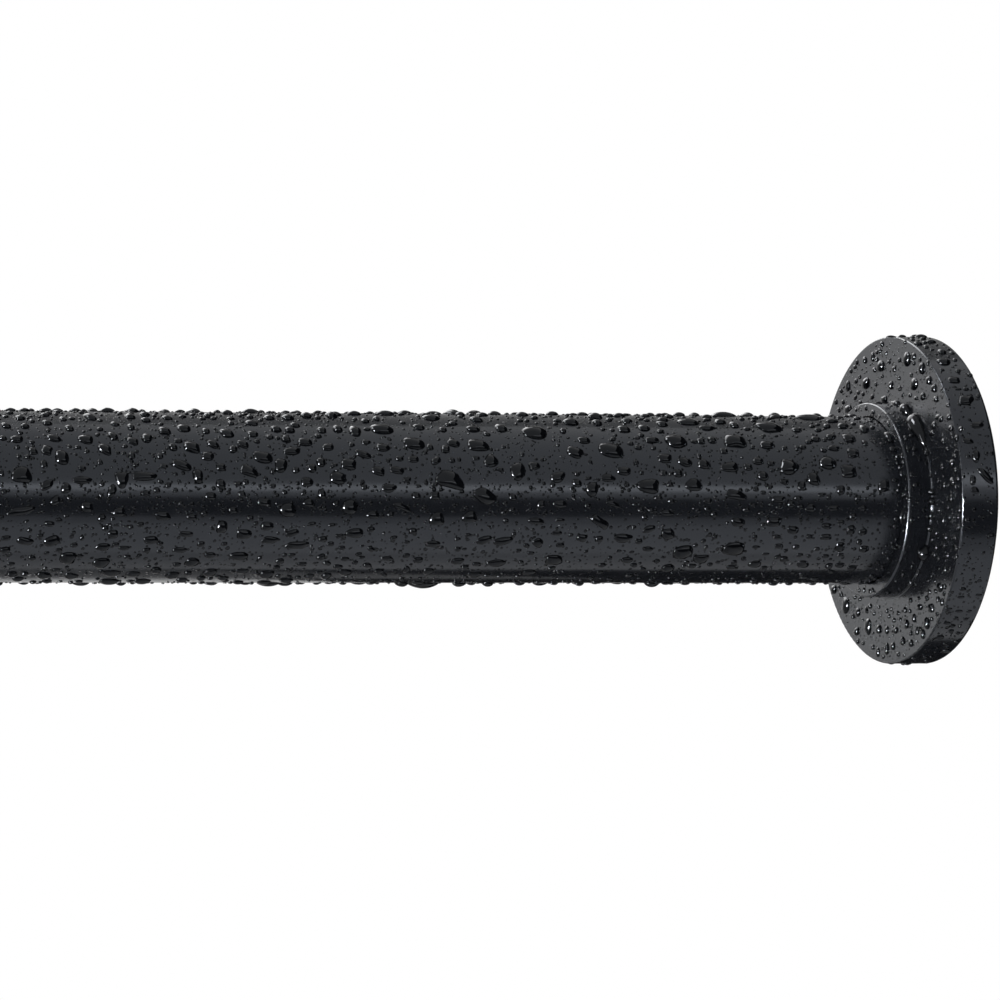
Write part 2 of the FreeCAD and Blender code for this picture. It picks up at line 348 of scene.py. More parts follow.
def metalFinish(name, look):
    finish = Finish(name)
    point = finish.millimetres()
    cloud = finish.noise(point, metalWear["cloudSize"], 4, 0.6)
    scratch = finish.noise(finish.millimetres(metalWear["scratchStretch"]), metalWear["scratchSize"], 2)
    patches = finish.noise(point, metalWear["stainSize"], 5, 0.7)
    stained = ((patches - metalWear["stainFrom"]) * metalWear["stainContrast"]).atLeast(0)
    body = finish.between(cloud, look["dark"], look["light"])
    rough = scratch * metalWear["scratchRoughness"] + stained * metalWear["stainRoughness"]
    return finish.surface(
        Base_Color=finish.between(stained, body, look["stain"]),
        Metallic=1.0,
        Roughness=rough + look["roughness"],
        Normal=finish.bump(scratch * metalWear["scratchDepth"]),
    )


painted = ("outer_tube", "fixed_flange", "free_flange", "inner_tube")
dress(painted, wetPaint("wetBlackPaint", paintLook))
dress(("fixed_wall_pad", "free_wall_pad"), rubberFinish(rubberLook))
for name, look in plastics.items():
    dress(look["nodes"], plasticFinish(name, look))
for name, look in metals.items():
    look["finish"] = metalFinish(name, look)
    dress(look["nodes"], look["finish"])
water = waterFinish(waterLook)
print("finishes made")


# The photograph's camera: level, turned to the rod's right-hand end, with a long lens
camera = {
    "place": (-0.8045, -1.6146, -0.0002),
    "turn": 24.4,  # degrees from straight at the rod, to the right
    "roll": 0.22,
    "lens": 424.0,
    "sensor": 36.0,
    "clip": (0.1, 50),
    "frame": 1000,  # pixels across the photograph
}


def cameraAxes(look):
    turn = math.radians(look["turn"])
    roll = math.radians(look["roll"])
    ahead = Vector((math.sin(turn), math.cos(turn), 0))
    level = Vector((math.cos(turn), -math.sin(turn), 0))
    right = level * math.cos(roll) + Vector((0, 0, math.sin(roll)))
    return right, right.cross(ahead), ahead


def makeCamera(look):
    right, up, ahead = cameraAxes(look)
    data = bpy.data.cameras.new("camera")
    data.lens = look["lens"]
    data.sensor_width = look["sensor"]
    data.clip_start, data.clip_end = look["clip"]
    eye = bpy.data.objects.new("camera", data)
    axes = Matrix((right, up, -ahead)).transposed().to_4x4()
    eye.matrix_world = Matrix.Translation(look["place"]) @ axes
    bpy.context.scene.collection.objects.link(eye)
    bpy.context.scene.camera = eye


def pixelRay(look, x, y):  # start and direction of what a pixel sees
    right, up, ahead = cameraAxes(look)
    half = look["frame"] / 2
    spread = look["sensor"] / look["lens"] / look["frame"]
    direction = ahead + right * ((x - half) * spread) + up * ((half - y) * spread)
    return Vector(look["place"]), direction.normalized()


makeCamera(camera)


# Soft studio light on white. The cards stand in reflections only, and most of them are dark, as flags are.
studio = {
    "white": 1.0,
    "fill": 0.95,
    "floor": {
        "middle": (-0.3, 0, -0.45),
        "half": (4.0, 4.0, 0.0),
        "dark": (0.80, 0.80, 0.81),
        "light": (0.86, 0.86, 0.86),
        "cloudSize": 400,
        "roughness": 0.7,
    },
    "lamps": {  # all but the floor lamp show in reflections only, and the left box on the paint only
        "floorLamp": {"place": (-0.26, 0.94, 0.85), "size": (1.0, 0.8), "power": 2.6, "only": "floor"},
        "backSoftbox": {"place": (-0.26, 0.94, 0.85), "size": (1.0, 0.8), "power": 6.8},
        "backGlow": {"place": (-0.27, 0.93, 0.86), "size": (1.18, 1.1), "power": 15.0},
        "frontStrip": {"place": (0.6, -1.45, 0.36), "size": (1.5, 0.2), "power": 2.3},
        "leftBox": {"place": (-0.72, -0.5, -0.08), "size": (1.2, 0.47), "power": 2.0, "only": "paint"},
        "leftStrip": {"place": (-0.815, -0.38, -0.03), "size": (0.14, 0.75), "power": 0.75, "spread": 60},
        "leftSpot": {"place": (-0.796, -0.292, -0.146), "size": (0.13, 0.12), "power": 4.2, "spread": 60},
        "highLeftBox": {"place": (-0.78, 0.18, 0.83), "size": (0.36, 0.30), "power": 12.0},
        "faceGlow": {"place": (-0.62, 1.3, 0.1), "size": (1.1, 1.0), "power": 0.8},
        "lowFrontGlow": {
            "place": (0.19, -0.35, -0.44), "size": (0.5, 0.54), "power": 0.31, "aim": (0.19, -0.35, 0),
        },
    },
    "aim": (-0.08, 0, 0),  # of every lamp that gives none of its own
    "cardFinish": {"Roughness": 0.9, "IOR": 1.01},
    "cards": {  # middle and half sizes
        "frontCard": {"place": (0.45, -1.2, -0.2125), "half": (1.1, 0.0, 0.2325), "shade": 0.08},
        "rightCard": {"place": (0.9, 0.1, 0.35), "half": (0.0, 1.3, 0.8), "shade": 0.012},
        "frontMat": {"place": (0.45, -1.08, -0.447), "half": (1.1, 0.12, 0.0), "shade": 0.08},
        "highBackCard": {"place": (0.75, 0.8, 0.81), "half": (0.6, 0.0, 0.79), "shade": 0.40},
        "backCard": {"place": (0.358, 0.19, -0.105), "half": (0.37, 0.0, 0.055), "shade": 0.012},
        "lowBackCard": {"place": (0.392, 0.19, -0.305), "half": (0.337, 0.0, 0.145), "shade": 0.012},
        "backLeftCard": {"place": (-0.131, 0.19, -0.095), "half": (0.119, 0.0, 0.065), "shade": 0.93},
        "lowLeftCard": {"place": (-0.0975, 0.19, -0.305), "half": (0.1525, 0.0, 0.145), "shade": 0.36},
    },
}


lit = {name: bpy.data.collections.new(name + "Lit") for name in ("floor", "paint")}
for name in painted:
    lit["paint"].objects.link(nodes[name])


def makeWorld(look):
    world = bpy.data.worlds.new("studio")
    bpy.context.scene.world = world
    finish = Finish("studio", world)
    path = finish.node("LightPath", out="Is Camera Ray")
    seen = path.atLeast(path.other("Is Glossy Ray")).atLeast(path.other("Is Transmission Ray"))
    strength = seen * (look["white"] - look["fill"]) + look["fill"]
    glow = finish.node("Background", {}, {"Color": (1, 1, 1, 1), "Strength": strength})
    finish.node("OutputWorld", {}, {"Surface": glow})


def plane(name, place, half, material):  # an upright or flat card, one of its half sizes is 0
    thin = half.index(0.0)
    a, b = [i for i in range(3) if i != thin]
    corners = []
    for signA, signB in ((-1, -1), (1, -1), (1, 1), (-1, 1)):
        corner = list(place)
        corner[a] += signA * half[a]
        corner[b] += signB * half[b]
        corners.append(corner)
    mesh = bpy.data.meshes.new(name)
    mesh.from_pydata(corners, [], [(0, 1, 2, 3)])
    mesh.materials.append(material)
    card = bpy.data.objects.new(name, mesh)
    bpy.context.scene.collection.objects.link(card)
    return card


def makeStudio(look):
    makeWorld(look)
    floor = look["floor"]
    finish = Finish("paleFloor")
    cloud = finish.noise(finish.millimetres(), floor["cloudSize"], 2)
    colour = finish.between(cloud, floor["dark"], floor["light"])
    pale = finish.surface(Base_Color=colour, Roughness=floor["roughness"], Specular_IOR_Level=0.0)
    made = plane("floor", floor["middle"], floor["half"], pale)
    lit["floor"].objects.link(made)
    for name, card in look["cards"].items():
        finish = Finish(name)
        shade = card["shade"]
        dull = finish.surface(Base_Color=(shade, shade, shade, 1), **look["cardFinish"])
        made = plane(name, card["place"], card["half"], dull)
        made.visible_camera = False
        made.visible_shadow = False
        made.visible_diffuse = False
    for name, lamp in look["lamps"].items():
        data = bpy.data.lights.new(name, "AREA")
        data.shape = "RECTANGLE"
        data.size, data.size_y = lamp["size"]
        data.energy = lamp["power"]
        data.spread = math.radians(lamp.get("spread", 180))
        light = bpy.data.objects.new(name, data)
        light.location = lamp["place"]
        aim = Vector(lamp.get("aim", look["aim"])) - Vector(lamp["place"])
        light.rotation_euler = aim.to_track_quat("-Z", "Y").to_euler()
        light.visible_camera = False
        light.visible_diffuse = lamp.get("only") == "floor"
        if "only" in lamp:
            light.light_linking.receiver_collection = lit[lamp["only"]]
        bpy.context.scene.collection.objects.link(light)


makeStudio(studio)
print("camera and studio made")


# The spring, as a coil of wire that takes the place of the part's solid
spring = {
    "node": "compression_spring",
    "travel": 0.020,
    "wire": 0.0022,
    "activeTurns": 11,
    "endTurns": 1.5,
    "endGap": 0.00015,
    "stepsPerTurn": 28,
    "pointsRound": 10,
}


def makeSpring(look):
    low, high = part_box(look["node"])
    length = high.x - low.x
    wire = look["wire"] / 2
    coil = high.y - wire
    endPitch = look["wire"] + look["endGap"]
    ends = look["endTurns"]
    pitch = (length - 2 * ends * endPitch) / look["activeTurns"]
    turns = look["activeTurns"] + 2 * ends
    steps = round(turns * look["stepsPerTurn"])
    count = look["pointsRound"]
    points = []
    for i in range(steps + 1):
        turn = turns * i / steps
        closed = min(turn, ends) + max(0.0, turn - ends - look["activeTurns"])
        along = closed * endPitch + (turn - closed) * pitch
        angle = fullTurn * turn
        for k in range(count):
            around = fullTurn * k / count
            radius = coil + wire * math.cos(around)
            x = min(max(along + wire * math.sin(around), 0.0), length)  # ground flat at both ends
            points.append((high.x - x, radius * math.cos(angle), radius * math.sin(angle)))
    faces = []
    for i in range(steps):
        for k in range(count):
            nextK = (k + 1) % count
            a = i * count
            faces.append((a + k, a + count + k, a + count + nextK, a + nextK))
    faces.append(tuple(range(count)))
    faces.append(tuple(reversed(range(steps * count, (steps + 1) * count))))
    made = addPiece("spring_coil", points, faces, metals["springSteel"]["finish"], "outer_assembly")
    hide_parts(look["node"])
    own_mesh(made)


def addPiece(name, points, faces, material, body):
    mesh = bpy.data.meshes.new(name)
    mesh.from_pydata(points, [], faces)
    mesh.polygons.foreach_set("use_smooth", [len(face) <= 4 for face in faces])
    mesh.materials.append(material)
    made = bpy.data.objects.new(name, mesh)
    bpy.context.scene.collection.objects.link(made)
    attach(made, body)
    return made


makeSpring(spring)
print("spring made")


# Water drops. Widths are in metres and the number is for each square metre of surface.
# Placed is the share of a grade that seenDrops already stands for where the photograph looks.
drops = {
    "seed": 7,
    "sink": 0.00006,  # how far a drop's edge goes into the paint
    "sag": 0.22,  # how far gravity pulls a drop's top down the surface, as a share of its half width
    "tries": 10,
    "photographed": -0.165,  # x from which the photograph shows the rod
    "fineFrom": 0.0009,  # half length from which a listed drop gets the finest mesh
    "widestSeen": 0.005,
    "leastShown": 0.55,  # share of a drop's length that a surface seen aslant still shows, at the least
    "contact": (60, 76),  # angle between the water's edge and the paint, in degrees
    "flatter": 14,  # degrees less on wide drops
    "flatFrom": 0.0006,  # half width from which a drop lies flatter
    "flatOver": 0.001,
    "fullness": 0.82,  # under 1 it swells an ellipse's outline towards a capsule's
    "tipDepth": 0.11,  # of a three-cornered drop
    "tipWobble": 0.4,  # what is left of the outline's wobble on a three-cornered drop
    "tipped": 0.25,  # share of the scattered drops with three corners
    "lean": 0.3,  # spread of the scattered drops' lean, in radians
    "stretch": 0.8,  # how much longer than wide a scattered drop may be
    "rarity": 1.5,  # above 1 it makes the widest and longest scattered drops rarer
    "shownWidth": 0.5,  # share of a grade's spread of widths that is left between the seen drops
    "clearance": 1.08,
    "cell": 1.5,  # of the crowd's grid, in widths of the widest drop
    "collar": {"radius": 0.01485, "height": 0.00395},
    "collarFrontGap": 0.0004,  # dry strips beside edges and corners
    "mouthGap": 0.0006,
    "edgeGap": 0.0009,
    "cornerGap": 0.001,
    "topTurns": (0.18, 0.27),  # the tube's top, which gets drops once more, in turns from the camera's side
    "besideFlange": (0.0002, 0.0014),
    "besideFreeFlange": (0.0008, 0.0070),
    "grades": {
        "large": {
            "width": (0.0023, 0.0034), "number": 5000, "rings": 7, "points": 22, "wobble": 0.30,
            "upper": 0.6, "placed": 1.0,
        },
        "medium": {
            "width": (0.0012, 0.0023), "number": 32000, "rings": 4, "points": 14, "wobble": 0.26,
            "upper": 0.2, "placed": 0.92,
        },
        "small": {
            "width": (0.0007, 0.0013), "number": 78000, "rings": 3, "points": 10, "wobble": 0.22,
            "upper": 0.0, "placed": 0.4,
        },
        "fine": {
            "width": (0.00035, 0.0007), "number": 130000, "rings": 2, "points": 6, "wobble": 0.15,
            "upper": 0.0, "placed": 0.0,
        },
    },
}

# The drops that the photograph shows best, where its pixels show them. Each sits on what carries it.
# Lean turns the long side anticlockwise, and point is where a three-cornered drop's tip is, both in degrees.
seenDrops = {
    "tube": (
        dict(x=22, y=475, wide=21, high=17, point=200), dict(x=62, y=457, wide=14, high=16),
        dict(x=86, y=439, wide=16, high=10), dict(x=54, y=438, wide=14, high=8),
        dict(x=184, y=428, wide=15, high=8), dict(x=227, y=433, wide=15, high=9),
        dict(x=192, y=447, wide=16, high=12), dict(x=263, y=457, wide=18, high=14),
        dict(x=281, y=465, wide=13, high=15), dict(x=144, y=476, wide=28, high=9),
        dict(x=122, y=479, wide=14, high=17, point=270), dict(x=182, y=465, wide=20, high=10, lean=-20),
        dict(x=249, y=471, wide=19, high=11, lean=-20), dict(x=292, y=451, wide=16, high=9),
        dict(x=305, y=442, wide=15, high=8), dict(x=349, y=464, wide=16, high=12),
        dict(x=355, y=431, wide=13, high=11), dict(x=382, y=429, wide=24, high=10),
        dict(x=414, y=443, wide=22, high=13, lean=-6), dict(x=478, y=445, wide=22, high=13, lean=-6),
        dict(x=491, y=461, wide=15, high=13, lean=30),
        dict(x=450, y=480, wide=29, high=18, lean=-14, point=330),
        dict(x=485, y=496, wide=24, high=15, lean=-20), dict(x=338, y=478, wide=17, high=13),
        dict(x=389, y=488, wide=15, high=9), dict(x=307, y=482, wide=13, high=10),
        dict(x=82, y=480, wide=17, high=9), dict(x=47, y=485, wide=15, high=9, lean=35),
        dict(x=66, y=488, wide=11, high=11), dict(x=112, y=491, wide=9, high=14, lean=-30),
        dict(x=198, y=476, wide=11, high=15), dict(x=21, y=511, wide=27, high=9, lean=5),
        dict(x=87, y=507, wide=12, high=11), dict(x=119, y=512, wide=13, high=10),
        dict(x=163, y=516, wide=16, high=9), dict(x=25, y=541, wide=17, high=8, lean=-12),
        dict(x=151, y=540, wide=15, high=8), dict(x=103, y=547, wide=16, high=7),
        dict(x=186, y=534, wide=15, high=6), dict(x=68, y=558, wide=19, high=11),
        dict(x=101, y=563, wide=18, high=10, lean=8), dict(x=192, y=562, wide=14, high=9),
        dict(x=111, y=573, wide=19, high=6), dict(x=43, y=575, wide=14, high=6),
        dict(x=222, y=527, wide=11, high=14), dict(x=244, y=534, wide=16, high=10),
        dict(x=270, y=540, wide=18, high=7), dict(x=239, y=556, wide=19, high=8),
        dict(x=297, y=545, wide=23, high=8), dict(x=355, y=533, wide=18, high=10),
        dict(x=437, y=519, wide=15, high=14, point=320), dict(x=470, y=517, wide=15, high=12, point=320),
        dict(x=433, y=544, wide=15, high=7), dict(x=484, y=540, wide=15, high=8, lean=25),
        dict(x=503, y=541, wide=19, high=8, lean=15), dict(x=496, y=563, wide=19, high=7),
        dict(x=535, y=432, wide=25, high=15, lean=-14), dict(x=501, y=428, wide=12, high=9),
        dict(x=473, y=429, wide=13, high=6), dict(x=571, y=422, wide=15, high=8, lean=10),
        dict(x=584, y=440, wide=12, high=8), dict(x=611, y=450, wide=25, high=16, lean=-10),
        dict(x=575, y=452, wide=17, high=12, lean=-15), dict(x=534, y=466, wide=12, high=9, lean=20),
        dict(x=518, y=471, wide=14, high=20), dict(x=558, y=477, wide=15, high=11, lean=15),
        dict(x=577, y=483, wide=10, high=9), dict(x=592, y=489, wide=14, high=14),
        dict(x=624, y=471, wide=16, high=8), dict(x=608, y=478, wide=15, high=8),
        dict(x=649, y=486, wide=23, high=15, point=180), dict(x=694, y=485, wide=17, high=13),
        dict(x=665, y=458, wide=15, high=10), dict(x=704, y=464, wide=12, high=11),
        dict(x=730, y=467, wide=18, high=11), dict(x=676, y=441, wide=22, high=14, lean=-8),
        dict(x=735, y=441, wide=22, high=15, lean=-8), dict(x=688, y=422, wide=22, high=8),
        dict(x=707, y=428, wide=15, high=6), dict(x=723, y=415, wide=24, high=7),
        dict(x=769, y=427, wide=25, high=12), dict(x=767, y=445, wide=15, high=8),
        dict(x=789, y=467, wide=20, high=15, lean=-10), dict(x=809, y=418, wide=28, high=8),
        dict(x=828, y=463, wide=17, high=13), dict(x=814, y=479, wide=13, high=13),
        dict(x=849, y=471, wide=18, high=13), dict(x=849, y=438, wide=13, high=10),
        dict(x=884, y=486, wide=12, high=13), dict(x=736, y=495, wide=22, high=10, lean=-10),
        dict(x=763, y=476, wide=11, high=10), dict(x=600, y=522, wide=19, high=10, lean=-30),
        dict(x=623, y=538, wide=18, high=9), dict(x=582, y=538, wide=11, high=8),
        dict(x=554, y=560, wide=20, high=9, lean=-5), dict(x=683, y=552, wide=21, high=13, lean=25),
        dict(x=734, y=549, wide=23, high=14), dict(x=701, y=559, wide=16, high=9),
        dict(x=755, y=564, wide=13, high=7), dict(x=738, y=522, wide=14, high=9),
        dict(x=774, y=522, wide=16, high=10), dict(x=803, y=564, wide=13, high=7),
        dict(x=840, y=547, wide=11, high=9), dict(x=889, y=437, wide=9, high=12),
        dict(x=893, y=449, wide=7, high=6), dict(x=20, y=418, wide=10, high=5),
        dict(x=45, y=415, wide=9, high=4), dict(x=58, y=412, wide=9, high=4),
        dict(x=63, y=419, wide=7, high=5), dict(x=32, y=421, wide=6, high=4),
        dict(x=25, y=426, wide=9, high=5), dict(x=100, y=429, wide=7, high=4),
        dict(x=131, y=427, wide=7, high=7), dict(x=3, y=438, wide=8, high=5),
        dict(x=17, y=439, wide=13, high=8), dict(x=32, y=442, wide=6, high=4),
        dict(x=113, y=436, wide=10, high=9), dict(x=133, y=441, wide=12, high=8, lean=-20),
        dict(x=147, y=438, wide=11, high=10, lean=-20), dict(x=33, y=451, wide=10, high=8),
        dict(x=47, y=450, wide=12, high=10, lean=-25), dict(x=87, y=451, wide=6, high=5),
        dict(x=78, y=447, wide=6, high=4), dict(x=105, y=449, wide=15, high=10, lean=-20),
        dict(x=125, y=446, wide=6, high=4), dict(x=132, y=455, wide=7, high=8),
        dict(x=160, y=456, wide=7, high=6), dict(x=164, y=466, wide=9, high=5),
        dict(x=100, y=462, wide=6, high=6), dict(x=44, y=464, wide=7, high=10),
        dict(x=2, y=473, wide=5, high=8), dict(x=102, y=484, wide=6, high=6),
        dict(x=157, y=490, wide=7, high=7), dict(x=146, y=493, wide=9, high=7),
        dict(x=168, y=485, wide=7, high=7), dict(x=59, y=520, wide=7, high=5),
        dict(x=113, y=519, wide=5, high=4), dict(x=131, y=527, wide=5, high=5),
        dict(x=6, y=538, wide=11, high=5), dict(x=52, y=541, wide=17, high=10, lean=20),
        dict(x=113, y=534, wide=12, high=8), dict(x=74, y=545, wide=8, high=5),
        dict(x=82, y=538, wide=5, high=5), dict(x=124, y=548, wide=11, high=5),
        dict(x=5, y=550, wide=10, high=7), dict(x=59, y=550, wide=7, high=4),
        dict(x=32, y=558, wide=8, high=5), dict(x=11, y=564, wide=8, high=4),
        dict(x=56, y=570, wide=9, high=4), dict(x=12, y=574, wide=11, high=5),
        dict(x=25, y=574, wide=7, high=4), dict(x=71, y=576, wide=15, high=6),
        dict(x=133, y=574, wide=15, high=5), dict(x=156, y=570, wide=11, high=6),
        dict(x=18, y=579, wide=12, high=5), dict(x=47, y=581, wide=10, high=4),
        dict(x=109, y=581, wide=23, high=6), dict(x=142, y=581, wide=18, high=6),
        dict(x=33, y=582, wide=8, high=4), dict(x=180, y=412, wide=10, high=4),
        dict(x=207, y=416, wide=7, high=5), dict(x=217, y=411, wide=7, high=4),
        dict(x=227, y=413, wide=12, high=6), dict(x=250, y=412, wide=17, high=6),
        dict(x=250, y=417, wide=7, high=4), dict(x=269, y=418, wide=10, high=6),
        dict(x=273, y=412, wide=7, high=3), dict(x=288, y=418, wide=12, high=6),
        dict(x=295, y=412, wide=12, high=3), dict(x=306, y=416, wide=11, high=6),
        dict(x=318, y=412, wide=10, high=4), dict(x=331, y=416, wide=12, high=7),
        dict(x=252, y=423, wide=13, high=6), dict(x=231, y=423, wide=6, high=5),
        dict(x=295, y=425, wide=10, high=6), dict(x=206, y=431, wide=9, high=6),
        dict(x=253, y=434, wide=12, high=6), dict(x=270, y=437, wide=8, high=5),
        dict(x=276, y=429, wide=10, high=7), dict(x=290, y=430, wide=10, high=6),
        dict(x=322, y=430, wide=10, high=7), dict(x=318, y=436, wide=7, high=5),
        dict(x=286, y=439, wide=10, high=7, lean=-15), dict(x=328, y=447, wide=13, high=7),
        dict(x=173, y=447, wide=9, high=8, lean=-20), dict(x=213, y=444, wide=12, high=8, lean=-20),
        dict(x=243, y=444, wide=12, high=8, lean=-20), dict(x=208, y=456, wide=12, high=10, lean=-20),
        dict(x=233, y=449, wide=9, high=8), dict(x=221, y=467, wide=10, high=9),
        dict(x=221, y=484, wide=10, high=11), dict(x=273, y=471, wide=6, high=6),
        dict(x=296, y=470, wide=7, high=7), dict(x=312, y=468, wide=10, high=9),
        dict(x=321, y=462, wide=10, high=10), dict(x=322, y=494, wide=9, high=10),
        dict(x=246, y=482, wide=6, high=7), dict(x=273, y=486, wide=7, high=5),
        dict(x=176, y=490, wide=5, high=5), dict(x=211, y=496, wide=12, high=8),
        dict(x=242, y=494, wide=8, high=7), dict(x=264, y=502, wide=14, high=9),
        dict(x=309, y=503, wide=12, high=9), dict(x=233, y=510, wide=10, high=7),
        dict(x=288, y=510, wide=17, high=14), dict(x=192, y=517, wide=11, high=7),
        dict(x=204, y=513, wide=7, high=5), dict(x=267, y=526, wide=13, high=9),
        dict(x=292, y=533, wide=14, high=7, lean=20), dict(x=312, y=524, wide=8, high=5),
        dict(x=332, y=525, wide=7, high=4), dict(x=323, y=539, wide=9, high=6),
        dict(x=201, y=544, wide=8, high=6), dict(x=180, y=550, wide=15, high=5),
        dict(x=210, y=555, wide=11, high=6), dict(x=292, y=555, wide=7, high=4),
        dict(x=280, y=561, wide=9, high=5), dict(x=302, y=564, wide=10, high=4),
        dict(x=321, y=557, wide=9, high=6, lean=30), dict(x=210, y=572, wide=13, high=7),
        dict(x=188, y=573, wide=7, high=5), dict(x=242, y=571, wide=13, high=5),
        dict(x=266, y=574, wide=15, high=7), dict(x=287, y=570, wide=7, high=4),
        dict(x=172, y=575, wide=13, high=6), dict(x=182, y=580, wide=12, high=5),
        dict(x=223, y=578, wide=11, high=5), dict(x=201, y=578, wide=9, high=5),
        dict(x=210, y=583, wide=13, high=4), dict(x=238, y=582, wide=11, high=4),
        dict(x=264, y=582, wide=13, high=4), dict(x=286, y=580, wide=13, high=5),
        dict(x=309, y=576, wide=10, high=5), dict(x=326, y=576, wide=10, high=7),
        dict(x=278, y=576, wide=6, high=4), dict(x=573, y=414, wide=10, high=3),
        dict(x=606, y=415, wide=9, high=3), dict(x=619, y=416, wide=12, high=5),
        dict(x=627, y=421, wide=12, high=5), dict(x=645, y=416, wide=11, high=4),
        dict(x=650, y=414, wide=11, high=4), dict(x=669, y=417, wide=9, high=4),
        dict(x=679, y=415, wide=12, high=5), dict(x=597, y=423, wide=10, high=6),
        dict(x=609, y=420, wide=6, high=4), dict(x=624, y=429, wide=13, high=8),
        dict(x=644, y=428, wide=12, high=7), dict(x=662, y=424, wide=11, high=6),
        dict(x=563, y=431, wide=7, high=5), dict(x=652, y=440, wide=13, high=7),
        dict(x=613, y=439, wide=6, high=4), dict(x=637, y=438, wide=7, high=3),
        dict(x=685, y=462, wide=15, high=9, lean=-30), dict(x=699, y=456, wide=5, high=6),
        dict(x=627, y=485, wide=6, high=5), dict(x=664, y=473, wide=7, high=7),
        dict(x=678, y=473, wide=10, high=9), dict(x=670, y=484, wide=6, high=7),
        dict(x=613, y=504, wide=13, high=6, lean=-20), dict(x=541, y=504, wide=9, high=8),
        dict(x=560, y=504, wide=14, high=8), dict(x=671, y=501, wide=7, high=6),
        dict(x=667, y=513, wide=13, high=6), dict(x=536, y=521, wide=16, high=7),
        dict(x=560, y=520, wide=9, high=5), dict(x=645, y=518, wide=7, high=7),
        dict(x=649, y=529, wide=13, high=7, lean=20), dict(x=668, y=534, wide=13, high=12),
        dict(x=557, y=533, wide=11, high=5), dict(x=599, y=539, wide=9, high=6),
        dict(x=571, y=535, wide=5, high=4), dict(x=538, y=543, wide=13, high=8, lean=-30),
        dict(x=560, y=545, wide=9, high=5), dict(x=526, y=545, wide=5, high=4),
        dict(x=531, y=553, wide=7, high=4), dict(x=648, y=549, wide=10, high=5),
        dict(x=627, y=560, wide=11, high=6), dict(x=657, y=561, wide=6, high=4),
        dict(x=619, y=551, wide=6, high=3), dict(x=632, y=552, wide=5, high=3),
        dict(x=610, y=558, wide=5, high=4), dict(x=668, y=568, wide=13, high=7, lean=20),
        dict(x=602, y=565, wide=7, high=4), dict(x=634, y=565, wide=7, high=4),
        dict(x=684, y=566, wide=5, high=3), dict(x=529, y=572, wide=13, high=5),
        dict(x=707, y=417, wide=11, high=4), dict(x=746, y=415, wide=11, high=3),
        dict(x=755, y=418, wide=6, high=4), dict(x=776, y=417, wide=13, high=5),
        dict(x=720, y=422, wide=12, high=5), dict(x=734, y=425, wide=9, high=7),
        dict(x=747, y=429, wide=7, high=4), dict(x=797, y=430, wide=10, high=5),
        dict(x=818, y=430, wide=7, high=4), dict(x=827, y=426, wide=8, high=5),
        dict(x=843, y=426, wide=11, high=6), dict(x=864, y=429, wide=10, high=9),
        dict(x=701, y=441, wide=9, high=6), dict(x=712, y=440, wide=9, high=7),
        dict(x=724, y=451, wide=9, high=6), dict(x=816, y=439, wide=10, high=6),
        dict(x=831, y=437, wide=11, high=6, lean=15), dict(x=834, y=448, wide=12, high=6),
        dict(x=797, y=448, wide=6, high=5), dict(x=803, y=447, wide=7, high=5),
        dict(x=853, y=453, wide=13, high=10), dict(x=865, y=443, wide=6, high=6),
        dict(x=758, y=461, wide=12, high=7), dict(x=748, y=467, wide=10, high=7),
        dict(x=802, y=486, wide=9, high=10), dict(x=841, y=490, wide=9, high=10),
        dict(x=770, y=487, wide=7, high=5), dict(x=756, y=489, wide=6, high=6),
        dict(x=779, y=499, wide=14, high=7), dict(x=779, y=507, wide=7, high=5),
        dict(x=708, y=501, wide=9, high=7), dict(x=791, y=504, wide=8, high=8),
        dict(x=811, y=508, wide=11, high=8), dict(x=834, y=508, wide=12, high=6),
        dict(x=829, y=497, wide=5, high=6), dict(x=863, y=508, wide=9, high=6),
        dict(x=853, y=517, wide=8, high=8), dict(x=841, y=522, wide=8, high=5),
        dict(x=793, y=530, wide=11, high=9), dict(x=827, y=526, wide=10, high=7),
        dict(x=851, y=530, wide=10, high=9), dict(x=863, y=532, wide=10, high=6),
        dict(x=826, y=537, wide=12, high=6), dict(x=777, y=537, wide=9, high=5),
        dict(x=715, y=537, wide=5, high=5), dict(x=755, y=537, wide=5, high=5),
        dict(x=756, y=547, wide=8, high=3), dict(x=779, y=546, wide=9, high=5),
        dict(x=796, y=547, wide=7, high=5), dict(x=817, y=549, wide=6, high=4),
        dict(x=864, y=549, wide=10, high=7), dict(x=766, y=554, wide=7, high=3),
        dict(x=784, y=559, wide=8, high=6), dict(x=800, y=555, wide=7, high=4),
        dict(x=809, y=556, wide=5, high=3), dict(x=829, y=566, wide=7, high=6),
        dict(x=840, y=565, wide=9, high=5), dict(x=852, y=568, wide=10, high=5),
        dict(x=731, y=567, wide=10, high=4), dict(x=764, y=568, wide=7, high=4),
        dict(x=718, y=562, wide=5, high=3), dict(x=706, y=547, wide=4, high=4),
        dict(x=335, y=414.5, wide=12, high=6), dict(x=354, y=414, wide=13, high=5),
        dict(x=369.5, y=413, wide=9, high=4), dict(x=385, y=414, wide=19, high=6),
        dict(x=376.5, y=419, wide=7, high=5), dict(x=365, y=421, wide=8, high=5),
        dict(x=404.5, y=412, wide=13, high=5), dict(x=433, y=412, wide=17, high=5),
        dict(x=431, y=418, wide=18, high=7), dict(x=460, y=415, wide=10, high=5),
        dict(x=471, y=413, wide=10, high=5), dict(x=482, y=415, wide=11, high=5),
        dict(x=494, y=414, wide=14, high=6), dict(x=476, y=420, wide=11, high=6),
        dict(x=522, y=415, wide=13, high=6), dict(x=552, y=414, wide=14, high=5),
        dict(x=582, y=414, wide=12, high=5), dict(x=595, y=417, wide=14, high=7),
        dict(x=419, y=427, wide=12, high=6), dict(x=443, y=429.5, wide=9, high=5),
